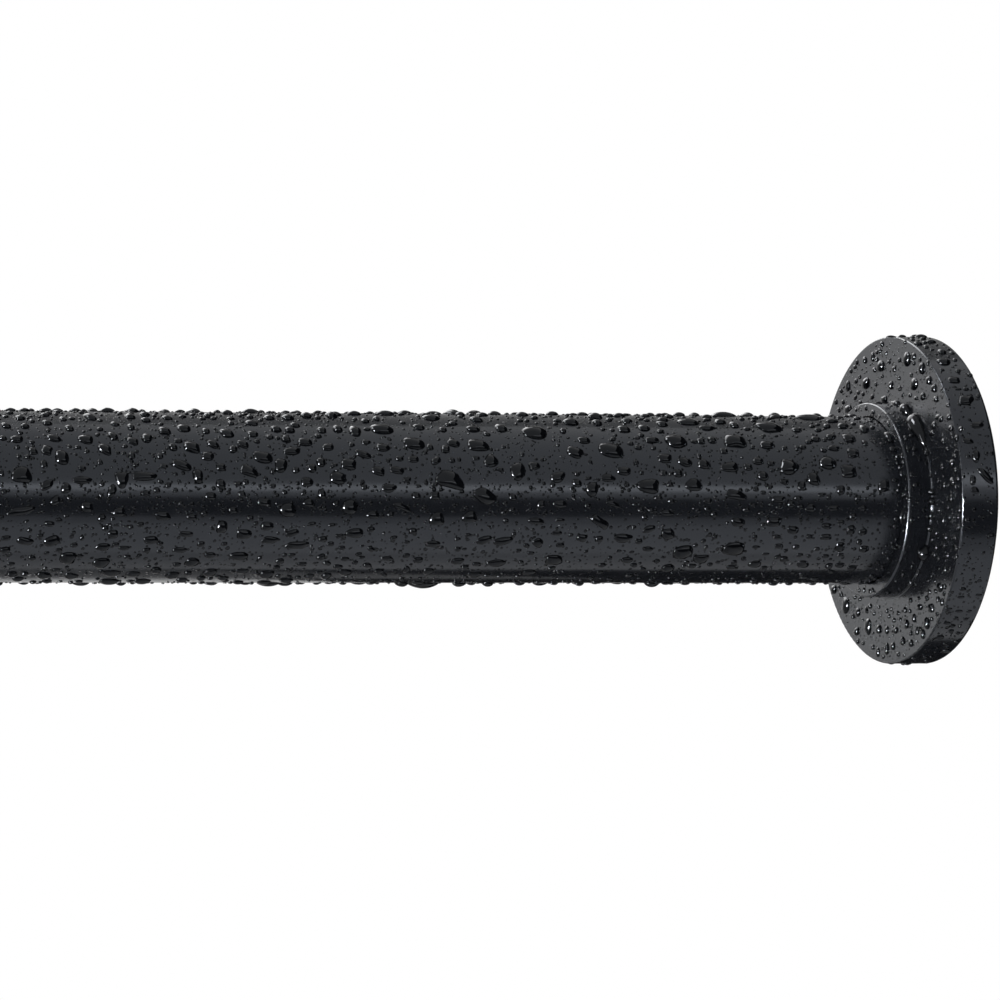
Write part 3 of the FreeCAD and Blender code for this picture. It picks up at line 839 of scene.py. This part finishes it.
        dict(x=453, y=423.5, wide=9, high=4), dict(x=10, y=410, wide=12, high=5),
        dict(x=24, y=410, wide=12, high=5), dict(x=46, y=410, wide=12, high=5),
        dict(x=75, y=410, wide=12, high=5), dict(x=90, y=417, wide=12, high=8),
        dict(x=107, y=411, wide=14, high=6), dict(x=132, y=410, wide=13, high=6),
        dict(x=130, y=417, wide=11, high=6), dict(x=146, y=420, wide=10, high=5),
        dict(x=167, y=418, wide=10, high=5), dict(x=164.5, y=411.5, wide=12, high=5),
        dict(x=194, y=411, wide=14, high=7), dict(x=47, y=423, wide=10, high=5),
        dict(x=164.5, y=431, wide=12, high=8), dict(x=69.5, y=428, wide=9, high=7),
        dict(x=115, y=424, wide=9, high=5), dict(x=6, y=425.5, wide=10, high=6),
        dict(x=896.5, y=459, wide=4, high=4), dict(x=897.5, y=463, wide=4, high=4),
        dict(x=898, y=490, wide=4, high=5), dict(x=893, y=547, wide=4, high=4),
        dict(x=898, y=545, wide=4, high=4), dict(x=337.5, y=429, wide=10, high=7),
        dict(x=366, y=442, wide=10, high=5), dict(x=383, y=447.5, wide=14, high=8),
        dict(x=363, y=454, wide=15, high=8, lean=-20), dict(x=430, y=447, wide=7, high=7),
        dict(x=445.5, y=449, wide=10, high=8), dict(x=453.5, y=443, wide=12, high=9, lean=-25),
        dict(x=436, y=460.5, wide=11, high=8, lean=30), dict(x=452, y=460, wide=7, high=6),
        dict(x=413.5, y=459, wide=12, high=7), dict(x=399.5, y=458.5, wide=8, high=6),
        dict(x=397, y=470, wide=15, high=8, lean=-10), dict(x=378.5, y=471, wide=14, high=9, lean=-25),
        dict(x=407, y=479.5, wide=9, high=6), dict(x=476, y=458, wide=8, high=5),
        dict(x=364.5, y=487, wide=6, high=7), dict(x=418.5, y=486, wide=6, high=4),
        dict(x=416.5, y=496, wide=9, high=8), dict(x=435, y=495.5, wide=12, high=8),
        dict(x=513, y=497, wide=8, high=8), dict(x=512, y=509.5, wide=6, high=5),
        dict(x=373, y=515, wide=13, high=8), dict(x=350, y=507, wide=15, high=16),
        dict(x=402, y=507, wide=19, high=6, lean=-22), dict(x=390.5, y=514.5, wide=7, high=6),
        dict(x=506, y=521, wide=6, high=6), dict(x=413, y=531, wide=8, high=7),
        dict(x=407, y=542, wide=6, high=4), dict(x=457.5, y=539, wide=6, high=4),
        dict(x=468, y=535, wide=6, high=4), dict(x=371, y=549, wide=8, high=5, lean=-40),
        dict(x=342, y=548, wide=7, high=5), dict(x=527, y=546, wide=6, high=4),
        dict(x=345, y=559, wide=9, high=4), dict(x=355, y=562.5, wide=6, high=4),
        dict(x=362, y=557.5, wide=6, high=3), dict(x=367, y=565, wide=9, high=4),
        dict(x=387.5, y=558.5, wide=12, high=4), dict(x=406.5, y=555.5, wide=7, high=5),
        dict(x=406.5, y=569.5, wide=7, high=7), dict(x=418, y=560, wide=10, high=6),
        dict(x=428, y=571, wide=11, high=6), dict(x=457.5, y=561, wide=13, high=6, lean=5),
        dict(x=476.5, y=564, wide=9, high=4), dict(x=345, y=572, wide=14, high=6),
        dict(x=378.5, y=571, wide=10, high=5), dict(x=394, y=571.5, wide=6, high=5),
        dict(x=474, y=574.5, wide=14, high=5),
    ),
    "face": (
        dict(x=881, y=366, wide=7, high=13), dict(x=907, y=359, wide=8, high=15),
        dict(x=914, y=384, wide=9, high=13), dict(x=866, y=383, wide=7, high=13),
        dict(x=848, y=386, wide=5, high=12), dict(x=922, y=368, wide=6, high=13),
        dict(x=929, y=380, wide=6, high=10), dict(x=934, y=388, wide=6, high=10),
        dict(x=891, y=385, wide=5, high=9), dict(x=873, y=357, wide=4, high=10),
        dict(x=865, y=360, wide=4, high=8), dict(x=894, y=369, wide=5, high=7),
        dict(x=923, y=396, wide=5, high=9), dict(x=936, y=399, wide=5, high=7),
        dict(x=846, y=605, wide=7, high=18), dict(x=868, y=626, wide=7, high=18),
        dict(x=858, y=612, wide=5, high=10), dict(x=879, y=629, wide=5, high=10),
        dict(x=887, y=630, wide=4, high=9), dict(x=907, y=624, wide=4, high=9),
        dict(x=914, y=618, wide=4, high=10), dict(x=927, y=623, wide=5, high=13),
        dict(x=917, y=631, wide=4, high=10), dict(x=887, y=649, wide=4, high=12),
        dict(x=878, y=652, wide=4, high=11), dict(x=911, y=643, wide=5, high=8),
        dict(x=931, y=608, wide=7, high=11), dict(x=942, y=602, wide=4, high=9),
        dict(x=886, y=353, wide=3, high=6), dict(x=914, y=356, wide=4, high=8),
        dict(x=882, y=344, wide=4, high=6), dict(x=905, y=342, wide=3, high=5),
        dict(x=855, y=367, wide=3, high=5), dict(x=856, y=381, wide=4, high=6),
        dict(x=851, y=371, wide=3, high=5), dict(x=857, y=362, wide=3, high=6),
        dict(x=889, y=362, wide=3, high=5), dict(x=899, y=378, wide=3, high=5),
        dict(x=876, y=384, wide=3, high=5), dict(x=911, y=375, wide=4, high=5),
        dict(x=928, y=363, wide=3, high=6), dict(x=931, y=368, wide=3, high=4),
        dict(x=942, y=390, wide=3, high=6), dict(x=948, y=405, wide=4, high=5),
        dict(x=860, y=402, wide=4, high=5), dict(x=839, y=410, wide=3, high=6),
        dict(x=843, y=402, wide=3, high=6), dict(x=841, y=391, wide=3, high=5),
        dict(x=836, y=402, wide=3, high=6), dict(x=863, y=394, wide=3, high=5),
        dict(x=910, y=395, wide=4, high=5), dict(x=916, y=398, wide=4, high=5),
        dict(x=938, y=417, wide=7, high=6), dict(x=949, y=417, wide=5, high=7),
        dict(x=884, y=399, wide=7, high=8), dict(x=848, y=409, wide=8, high=10),
        dict(x=903, y=407, wide=7, high=6), dict(x=893, y=403, wide=7, high=5),
        dict(x=923, y=634, wide=4, high=11), dict(x=920, y=607, wide=6, high=7),
        dict(x=905, y=610, wide=4, high=6), dict(x=910, y=611, wide=3, high=5),
        dict(x=898, y=613, wide=4, high=5), dict(x=894, y=620, wide=3, high=6),
        dict(x=889, y=616, wide=3, high=5), dict(x=891, y=609, wide=3, high=5),
        dict(x=900, y=619, wide=4, high=4), dict(x=896, y=630, wide=4, high=8),
        dict(x=911, y=633, wide=3, high=6), dict(x=903, y=641, wide=4, high=10),
        dict(x=893, y=646, wide=4, high=9), dict(x=898, y=654, wide=5, high=6),
        dict(x=904, y=655, wide=3, high=4), dict(x=873, y=647, wide=3, high=6),
        dict(x=883, y=657, wide=4, high=4), dict(x=857, y=631, wide=5, high=9),
        dict(x=858, y=641, wide=3, high=6), dict(x=863, y=643, wide=3, high=5),
        dict(x=870, y=606, wide=4, high=6), dict(x=874, y=613, wide=3, high=6),
        dict(x=834, y=589, wide=6, high=9), dict(x=855, y=597, wide=3, high=5),
        dict(x=853, y=616, wide=3, high=6), dict(x=927, y=598, wide=4, high=6),
        dict(x=919, y=598, wide=4, high=4), dict(x=938, y=599, wide=3, high=6),
        dict(x=937, y=614, wide=4, high=5), dict(x=940, y=587, wide=7, high=10),
        dict(x=914, y=580, wide=4, high=4), dict(x=928, y=580, wide=4, high=4),
        dict(x=935, y=581, wide=3, high=4), dict(x=943.5, y=441.5, wide=4, high=7),
        dict(x=952, y=463, wide=5, high=9), dict(x=955.5, y=470, wide=4, high=6),
        dict(x=942, y=467, wide=4, high=8), dict(x=944.5, y=485.5, wide=4, high=7),
        dict(x=951.5, y=498, wide=4, high=8), dict(x=939.5, y=510, wide=4, high=7),
        dict(x=960, y=509, wide=4, high=8), dict(x=949.5, y=517, wide=4, high=6),
        dict(x=952, y=522.5, wide=4, high=5), dict(x=943.5, y=520, wide=4, high=7),
        dict(x=959, y=526.5, wide=4, high=7), dict(x=946, y=536, wide=4, high=7),
        dict(x=954.5, y=537, wide=4, high=6), dict(x=944.5, y=545, wide=4, high=7),
        dict(x=936, y=547, wide=4, high=6), dict(x=956, y=556, wide=4, high=6),
        dict(x=938.5, y=558, wide=4, high=6), dict(x=951, y=428, wide=5, high=7),
        dict(x=957, y=438, wide=4, high=7), dict(x=941, y=419, wide=5, high=7),
        dict(x=961, y=429, wide=4, high=7), dict(x=934, y=425, wide=5, high=8),
        dict(x=947, y=449, wide=4, high=5), dict(x=938, y=480, wide=3, high=5),
        dict(x=956, y=487, wide=3, high=5), dict(x=948, y=507, wide=3, high=5),
        dict(x=936, y=533, wide=3, high=5), dict(x=948, y=555, wide=4, high=6),
        dict(x=945, y=569, wide=4, high=7),
    ),
    "rim": (
        dict(x=944, y=362, wide=14, high=7), dict(x=954, y=380, wide=14, high=7),
        dict(x=966, y=400, wide=16, high=10), dict(x=977, y=425, wide=13, high=7),
        dict(x=968, y=441, wide=11, high=6), dict(x=976, y=456, wide=9, high=12),
        dict(x=986, y=476, wide=19, high=8, lean=-45), dict(x=973, y=480, wide=6, high=11),
        dict(x=975, y=490, wide=9, high=7), dict(x=942, y=352, wide=9, high=6),
        dict(x=931, y=342, wide=9, high=4), dict(x=921, y=337, wide=12, high=5),
        dict(x=918, y=344, wide=8, high=4), dict(x=926, y=347, wide=6, high=4),
        dict(x=952, y=353, wide=5, high=4), dict(x=955, y=360, wide=5, high=4),
        dict(x=958, y=371, wide=6, high=4), dict(x=958, y=389, wide=7, high=3),
        dict(x=966, y=389, wide=6, high=4), dict(x=942, y=370, wide=5, high=3),
        dict(x=970, y=375, wide=5, high=5), dict(x=975, y=386, wide=4, high=4),
        dict(x=978, y=396, wide=4, high=5), dict(x=891, y=337, wide=10, high=3),
        dict(x=902, y=336, wide=8, high=3), dict(x=961, y=597, wide=8, high=3),
        dict(x=959, y=611, wide=8, high=3), dict(x=947, y=623, wide=8, high=3),
        dict(x=956, y=618, wide=5, high=3), dict(x=966, y=619, wide=5, high=3),
        dict(x=940, y=637, wide=9, high=4), dict(x=951, y=631, wide=6, high=4),
        dict(x=958, y=633, wide=5, high=3), dict(x=960, y=626, wide=3, high=4),
        dict(x=949, y=609, wide=7, high=3), dict(x=969, y=611, wide=6, high=3),
        dict(x=979, y=595, wide=8, high=3), dict(x=963, y=589, wide=7, high=4),
    ),
    "collar": (
        dict(x=912, y=475, wide=5, high=6), dict(x=912, y=520, wide=5, high=7),
        dict(x=906, y=438, wide=5, high=6), dict(x=908, y=449, wide=4, high=6),
        dict(x=903, y=575, wide=5, high=6), dict(x=912, y=567, wide=4, high=5),
    ),
    "collarFront": (
        dict(x=903, y=462, wide=3, high=5), dict(x=902, y=456, wide=3, high=6),
        dict(x=904, y=494, wide=3, high=5), dict(x=901, y=474, wide=3, high=6),
        dict(x=899, y=546, wide=3, high=6), dict(x=873, y=412, wide=5, high=5),
        dict(x=866, y=408, wide=3, high=6), dict(x=856, y=410, wide=3, high=4),
        dict(x=859, y=590, wide=3, high=5), dict(x=864, y=590, wide=3, high=5),
        dict(x=870, y=591, wide=4, high=5),
    ),
}


# Water that lies in the corners where the collar meets the face and the tube meets the collar. It goes
# from one turn to the other, in degrees above the level of the rod's middle on the camera's side.
cornerDrops = {
    "face": (
        {"from": 85, "to": 75, "height": 0.0007},
        {"from": 74, "to": 61, "height": 0.0011},
        {"from": 60, "to": 32, "height": 0.0016, "peak": 0.3},
        {"from": 31, "to": 26.5, "height": 0.0007},
        {"from": 16, "to": 13, "height": 0.0004},
        {"from": 7, "to": 2.6, "height": 0.0009},
        {"from": 2, "to": -3, "height": 0.0008},
        {"from": -6, "to": -12, "height": 0.0005},
        {"from": -14, "to": -19, "height": 0.0007},
        {"from": -27, "to": -38, "height": 0.0014},
        {"from": -44, "to": -47, "height": 0.0004},
        {"from": -55, "to": -61, "height": 0.0006},
    ),
    "collar": (
        {"from": 52, "to": 46, "height": 0.0006},
        {"from": 33, "to": 29, "height": 0.0005},
        {"from": 25, "to": 21, "height": 0.0004},
        {"from": 4.5, "to": 1.5, "height": 0.0004},
        {"from": -5.5, "to": -17, "height": 0.0005, "peak": 0.6},
        {"from": -33, "to": -36, "height": 0.0005},
    ),
}

cornerShape = {
    "steps": 16,
    "arc": 9,  # points across its curved side
    "sink": 0.12,  # how far it goes into the paint, as a share of its height
    "peak": 0.5,  # where it is highest, as a share of its length, unless it gives its own
    "fullness": 0.7,
    "thinnest": 0.05,  # share of its height that both ends have
}


class Crowd:  # remembers where the drops lie, so that no two of them meet
    def __init__(self):
        self.layers = []

    def openLayer(self, widest):
        self.layers.append((widest, {}))

    def isFree(self, point, reach):
        for cell, kept in self.layers:
            home = [math.floor(c / cell) for c in point]
            for i in (home[0] - 1, home[0], home[0] + 1):
                for j in (home[1] - 1, home[1], home[1] + 1):
                    for k in (home[2] - 1, home[2], home[2] + 1):
                        for other, otherReach in kept.get((i, j, k), ()):
                            if (other - point).length < reach + otherReach:
                                return False
        return True

    def add(self, point, reach):
        cell, kept = self.layers[-1]
        home = tuple(math.floor(c / cell) for c in point)
        kept.setdefault(home, []).append((point, reach))


def onRound(radius, x, angle):  # angle 0 faces the camera's side, a quarter turn is the top
    def lay(along, across, height):
        turn = angle + across / radius
        return Vector((x + along, -(radius + height) * math.cos(turn), (radius + height) * math.sin(turn)))

    return lay, -math.cos(angle), math.sin(angle)  # the second value is gravity's pull along "across"


def onFace(x, outwards, y, z):
    def lay(along, across, height):
        return Vector((x + outwards * height, y + along, z + across))

    return lay, -1.0, 0.0


def roundPatch(radius, start, end, firstTurn=0.0, lastTurn=1.0):
    def pick(rng):
        return onRound(radius, rng.uniform(start, end), fullTurn * rng.uniform(firstTurn, lastTurn))

    return {"area": fullTurn * radius * abs(end - start) * (lastTurn - firstTurn), "pick": pick}


def facePatch(x, outwards, inside, outside):
    def pick(rng):
        radius = math.sqrt(rng.uniform(inside**2, outside**2))
        angle = rng.uniform(0, fullTurn)
        return onFace(x, outwards, radius * math.cos(angle), radius * math.sin(angle))

    return {"area": math.pi * (outside**2 - inside**2), "pick": pick}


def full(value):  # swells an ellipse's outline a little towards a capsule's
    return math.copysign(abs(value) ** drops["fullness"], value)


def addDrop(mesh, lay, pull, rng, halfLong, halfWide, lean, grade, point=None):
    points, faces = mesh
    first = len(points)
    rings, count = grade["rings"], grade["points"]
    short = min(halfLong, halfWide)
    flatten = min(max((short - drops["flatFrom"]) / drops["flatOver"], 0.0), 1.0)
    contact = math.radians(rng.uniform(*drops["contact"]) - drops["flatter"] * flatten)
    wobble = grade["wobble"] if point is None else grade["wobble"] * drops["tipWobble"]
    waves = [(n, rng.uniform(0, wobble / n), rng.uniform(0, fullTurn)) for n in (2, 3, 4)]
    if point is not None:
        waves.append((3, drops["tipDepth"], -3 * math.radians(point)))
    cosLean, sinLean = math.cos(lean), math.sin(lean)
    sag = pull * drops["sag"] * short
    top = short * (1 - math.cos(contact)) / math.sin(contact)
    points.append(lay(0, sag, top))
    for i in range(1, rings + 1):
        tilt = contact * i / rings
        share = math.sin(tilt) / math.sin(contact)
        height = short * (math.cos(tilt) - math.cos(contact)) / math.sin(contact)
        if i == rings:
            height = -drops["sink"]
        for k in range(count):
            turn = fullTurn * k / count
            edge = 1 + share * sum(depth * math.cos(n * turn + start) for n, depth, start in waves)
            a = halfLong * full(math.cos(turn)) * edge * share
            b = halfWide * full(math.sin(turn)) * edge * share
            along = a * cosLean - b * sinLean
            across = a * sinLean + b * cosLean + sag * (1 - share**2)
            points.append(lay(along, across, height))
    for k in range(count):
        nextK = (k + 1) % count
        faces.append((first, first + 1 + k, first + 1 + nextK))
        for i in range(rings - 1):
            a = first + 1 + i * count
            faces.append((a + k, a + count + k, a + count + nextK, a + nextK))
    base = first + 1 + (rings - 1) * count
    faces.append(tuple(reversed(range(base, base + count))))


def addCornerDrop(mesh, radius, x, drop, look, crowd):
    points, faces = mesh
    first = len(points)
    steps, arc, sink = look["steps"], look["arc"], look["sink"]
    peak = drop.get("peak", look["peak"])
    for i in range(steps + 1):
        share = i / steps
        angle = math.radians(drop["from"] + (drop["to"] - drop["from"]) * share)
        swell = share / peak if share < peak else (1 - share) / (1 - peak)
        rise = math.sin(swell * math.pi / 2) ** look["fullness"]
        height = drop["height"] * max(rise, look["thinnest"])
        turns = [math.pi / 2 * (k / (arc - 1) * (1 + 2 * sink) - sink) for k in range(arc)]
        section = [(height * math.sin(turn), -height * math.cos(turn)) for turn in turns]
        section.append((-height * sink, height * sink))
        for outwards, along in section:
            reach = radius + outwards
            points.append(Vector((x + along, -reach * math.cos(angle), reach * math.sin(angle))))
        crowd.add(points[-2], height)
    count = arc + 1
    for i in range(steps):
        for k in range(count):
            nextK = (k + 1) % count
            a = first + i * count
            faces.append((a + k, a + count + k, a + count + nextK, a + nextK))
    faces.append(tuple(range(first, first + count)))
    faces.append(tuple(reversed(range(first + steps * count, first + (steps + 1) * count))))


def hitRound(start, direction, radius):  # where a ray meets a bar along x, or passes it closest
    across = direction.y**2 + direction.z**2
    closest = -(start.y * direction.y + start.z * direction.z) / across
    passing = start + direction * closest
    inside = radius**2 - passing.y**2 - passing.z**2
    if inside > 0:
        return start + direction * (closest - math.sqrt(inside / across))
    return passing


def placeSeen(seenDrops, look, carriers, crowd, rng):
    meshes = {}
    crowd.openLayer(look["widestSeen"])
    least = look["leastShown"]
    for carrier, seen in seenDrops.items():
        solid = carriers[carrier]
        mesh = meshes.setdefault((solid["piece"], "seen"), ([], []))
        for drop in seen:
            start, direction = pixelRay(camera, drop["x"], drop["y"])
            if "radius" in solid:
                spot = hitRound(start, direction, solid["radius"])
                angle = math.atan2(spot.z, -spot.y)
                lay, pull, _ = onRound(solid["radius"], spot.x, angle)
                acrossWay = Vector((0, math.sin(angle), math.cos(angle)))
                alongWay = Vector((1, 0, 0))
            else:
                spot = start + direction * ((solid["x"] - start.x) / direction.x)
                lay, pull, _ = onFace(solid["x"], -1, spot.y, spot.z)
                acrossWay = Vector((0, 0, 1))
                alongWay = Vector((0, 1, 0))
            pixel = (spot - start).length * camera["sensor"] / camera["lens"] / camera["frame"]
            shownLong = max(math.sqrt(1 - alongWay.dot(direction) ** 2), least)
            shownWide = max(math.sqrt(1 - acrossWay.dot(direction) ** 2), least)
            halfLong = drop["wide"] * pixel / shownLong / 2
            halfWide = drop["high"] * pixel / shownWide / 2
            lean = math.radians(drop.get("lean", 0))
            if "radius" not in solid:
                lean = -lean
            crowd.add(lay(0, 0, 0), (halfLong + halfWide) / 2)
            grade = look["grades"]["large" if halfLong > look["fineFrom"] else "medium"]
            addDrop(mesh, lay, pull, rng, halfLong, halfWide, lean, grade, drop.get("point"))
    return meshes


def scatterOne(mesh, patch, grade, look, crowd, rng):
    small, large = grade["width"]
    for _ in range(look["tries"]):
        lay, pull, up = patch["pick"](rng)
        centre = lay(0, 0, 0)
        shown = centre.x > look["photographed"] and (centre.y < 0 or patch.get("flat"))
        if shown and rng.random() < grade["placed"]:
            return
        part = look["shownWidth"] if shown else 1
        width = small + (large - small) * rng.random() ** look["rarity"] * part
        if width > patch.get("widest", large) or rng.random() < grade["upper"] * (1 - up) / 2:
            continue
        stretch = 1 + rng.random() ** look["rarity"] * look["stretch"]
        halfLong, halfWide = width / 2 * stretch, width / 2
        reach = (halfLong + halfWide) / 2 * look["clearance"]
        if crowd.isFree(centre, reach):
            crowd.add(centre, reach)
            lean = rng.gauss(0, look["lean"])
            point = rng.uniform(0, 360) if rng.random() < look["tipped"] else None
            addDrop(mesh, lay, pull, rng, halfLong, halfWide, lean, grade, point)
            return


def scatter(look, patches, crowd, rng):
    meshes = {}
    for name, grade in look["grades"].items():
        crowd.openLayer(grade["width"][1] * look["cell"])
        for patch in patches:
            mesh = meshes.setdefault((patch["piece"], name), ([], []))
            for _ in range(round(patch["area"] * grade["number"] * patch.get("share", 1.0))):
                scatterOne(mesh, patch, grade, look, crowd, rng)
    return meshes


def makeDrops(look):
    rng = random.Random(look["seed"])
    tubeLow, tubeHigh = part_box("outer_tube")
    flangeLow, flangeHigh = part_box("fixed_flange")
    freeLow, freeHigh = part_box("free_flange")
    tubeRadius = tubeHigh.z
    flangeRadius = flangeHigh.z
    collar = look["collar"]
    face = flangeLow.x + collar["height"]
    freeFace = freeHigh.x - collar["height"]
    middle = (tubeLow.x + flangeLow.x) / 2
    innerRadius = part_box("inner_tube")[1].z
    carriers = {
        "tube": {"piece": "tube_drops_fixed_half", "radius": tubeRadius},
        "face": {"piece": "fixed_flange_drops", "x": face},
        "rim": {"piece": "fixed_flange_drops", "radius": flangeRadius},
        "collar": {"piece": "fixed_flange_drops", "radius": collar["radius"]},
        "collarFront": {"piece": "fixed_flange_drops", "x": flangeLow.x},
    }
    edge, corner, mouth = look["edgeGap"], look["cornerGap"], look["mouthGap"]
    faceRing = (collar["radius"] + edge, flangeRadius - edge)
    collarRing = (tubeRadius + mouth, collar["radius"] - mouth)
    fixedHalf = (tubeRadius, flangeLow.x - look["collarFrontGap"], middle)
    freeHalf = (tubeRadius, middle, tubeLow.x + mouth)
    near, far = look["besideFlange"]
    nearFree, farFree = look["besideFreeFlange"]
    patches = [
        {"piece": "tube_drops_fixed_half", **roundPatch(*fixedHalf)},
        {"piece": "tube_drops_free_half", **roundPatch(*freeHalf)},
        {"piece": "tube_drops_fixed_half", **roundPatch(*fixedHalf, *look["topTurns"])},
        {"piece": "tube_drops_free_half", **roundPatch(*freeHalf, *look["topTurns"])},
        {"piece": "fixed_flange_drops", "flat": True, "share": 1.5, **facePatch(face, -1, *faceRing)},
        {
            "piece": "fixed_flange_drops", "flat": True, "widest": 0.0011, "share": 2.0,
            **facePatch(flangeLow.x, -1, *collarRing),
        },
        {
            "piece": "tube_drops_fixed_half", "widest": 0.0012, "share": 2.5,
            **roundPatch(tubeRadius, flangeLow.x - near, flangeLow.x - far),
        },
        {
            "piece": "fixed_flange_drops", "widest": 0.003, "share": 1.4,
            **roundPatch(flangeRadius, face + edge, flangeHigh.x - corner),
        },
        {
            "piece": "fixed_flange_drops", "widest": 0.0015,
            **roundPatch(collar["radius"], flangeLow.x + edge, face - corner),
        },
        {"piece": "free_flange_drops", **facePatch(freeFace, 1, *faceRing)},
        {
            "piece": "free_flange_drops", "widest": 0.003,
            **roundPatch(flangeRadius, freeLow.x + corner, freeFace - edge),
        },
        {
            "piece": "free_flange_drops", "widest": 0.0015,
            **roundPatch(collar["radius"], freeFace + corner, freeHigh.x - edge),
        },
        {
            "piece": "inner_tube_drops",
            **roundPatch(innerRadius, freeHigh.x + nearFree, freeHigh.x + farFree),
        },
    ]
    bodies = {
        "tube_drops_fixed_half": "outer_assembly",
        "tube_drops_free_half": "outer_assembly",
        "fixed_flange_drops": "outer_assembly",
        "free_flange_drops": "free_end",
        "inner_tube_drops": "inner_assembly",
    }
    crowd = Crowd()
    meshes = placeSeen(seenDrops, look, carriers, crowd, rng)
    corners = {"face": (collar["radius"], face), "collar": (tubeRadius, flangeLow.x)}
    for corner, (radius, x) in corners.items():
        for drop in cornerDrops[corner]:
            addCornerDrop(meshes["fixed_flange_drops", "seen"], radius, x, drop, cornerShape, crowd)
    meshes.update(scatter(look, patches, crowd, rng))
    for (piece, grade), (points, faces) in meshes.items():
        if points:
            made = addPiece(f"{piece}_{grade}", points, faces, water, bodies[piece])
            triangles = sum(len(f) - 2 for f in faces)
            print(made.name, triangles, "triangles")


makeDrops(drops)
print("drops made")

bpy.context.scene.view_settings.view_transform = "Standard"
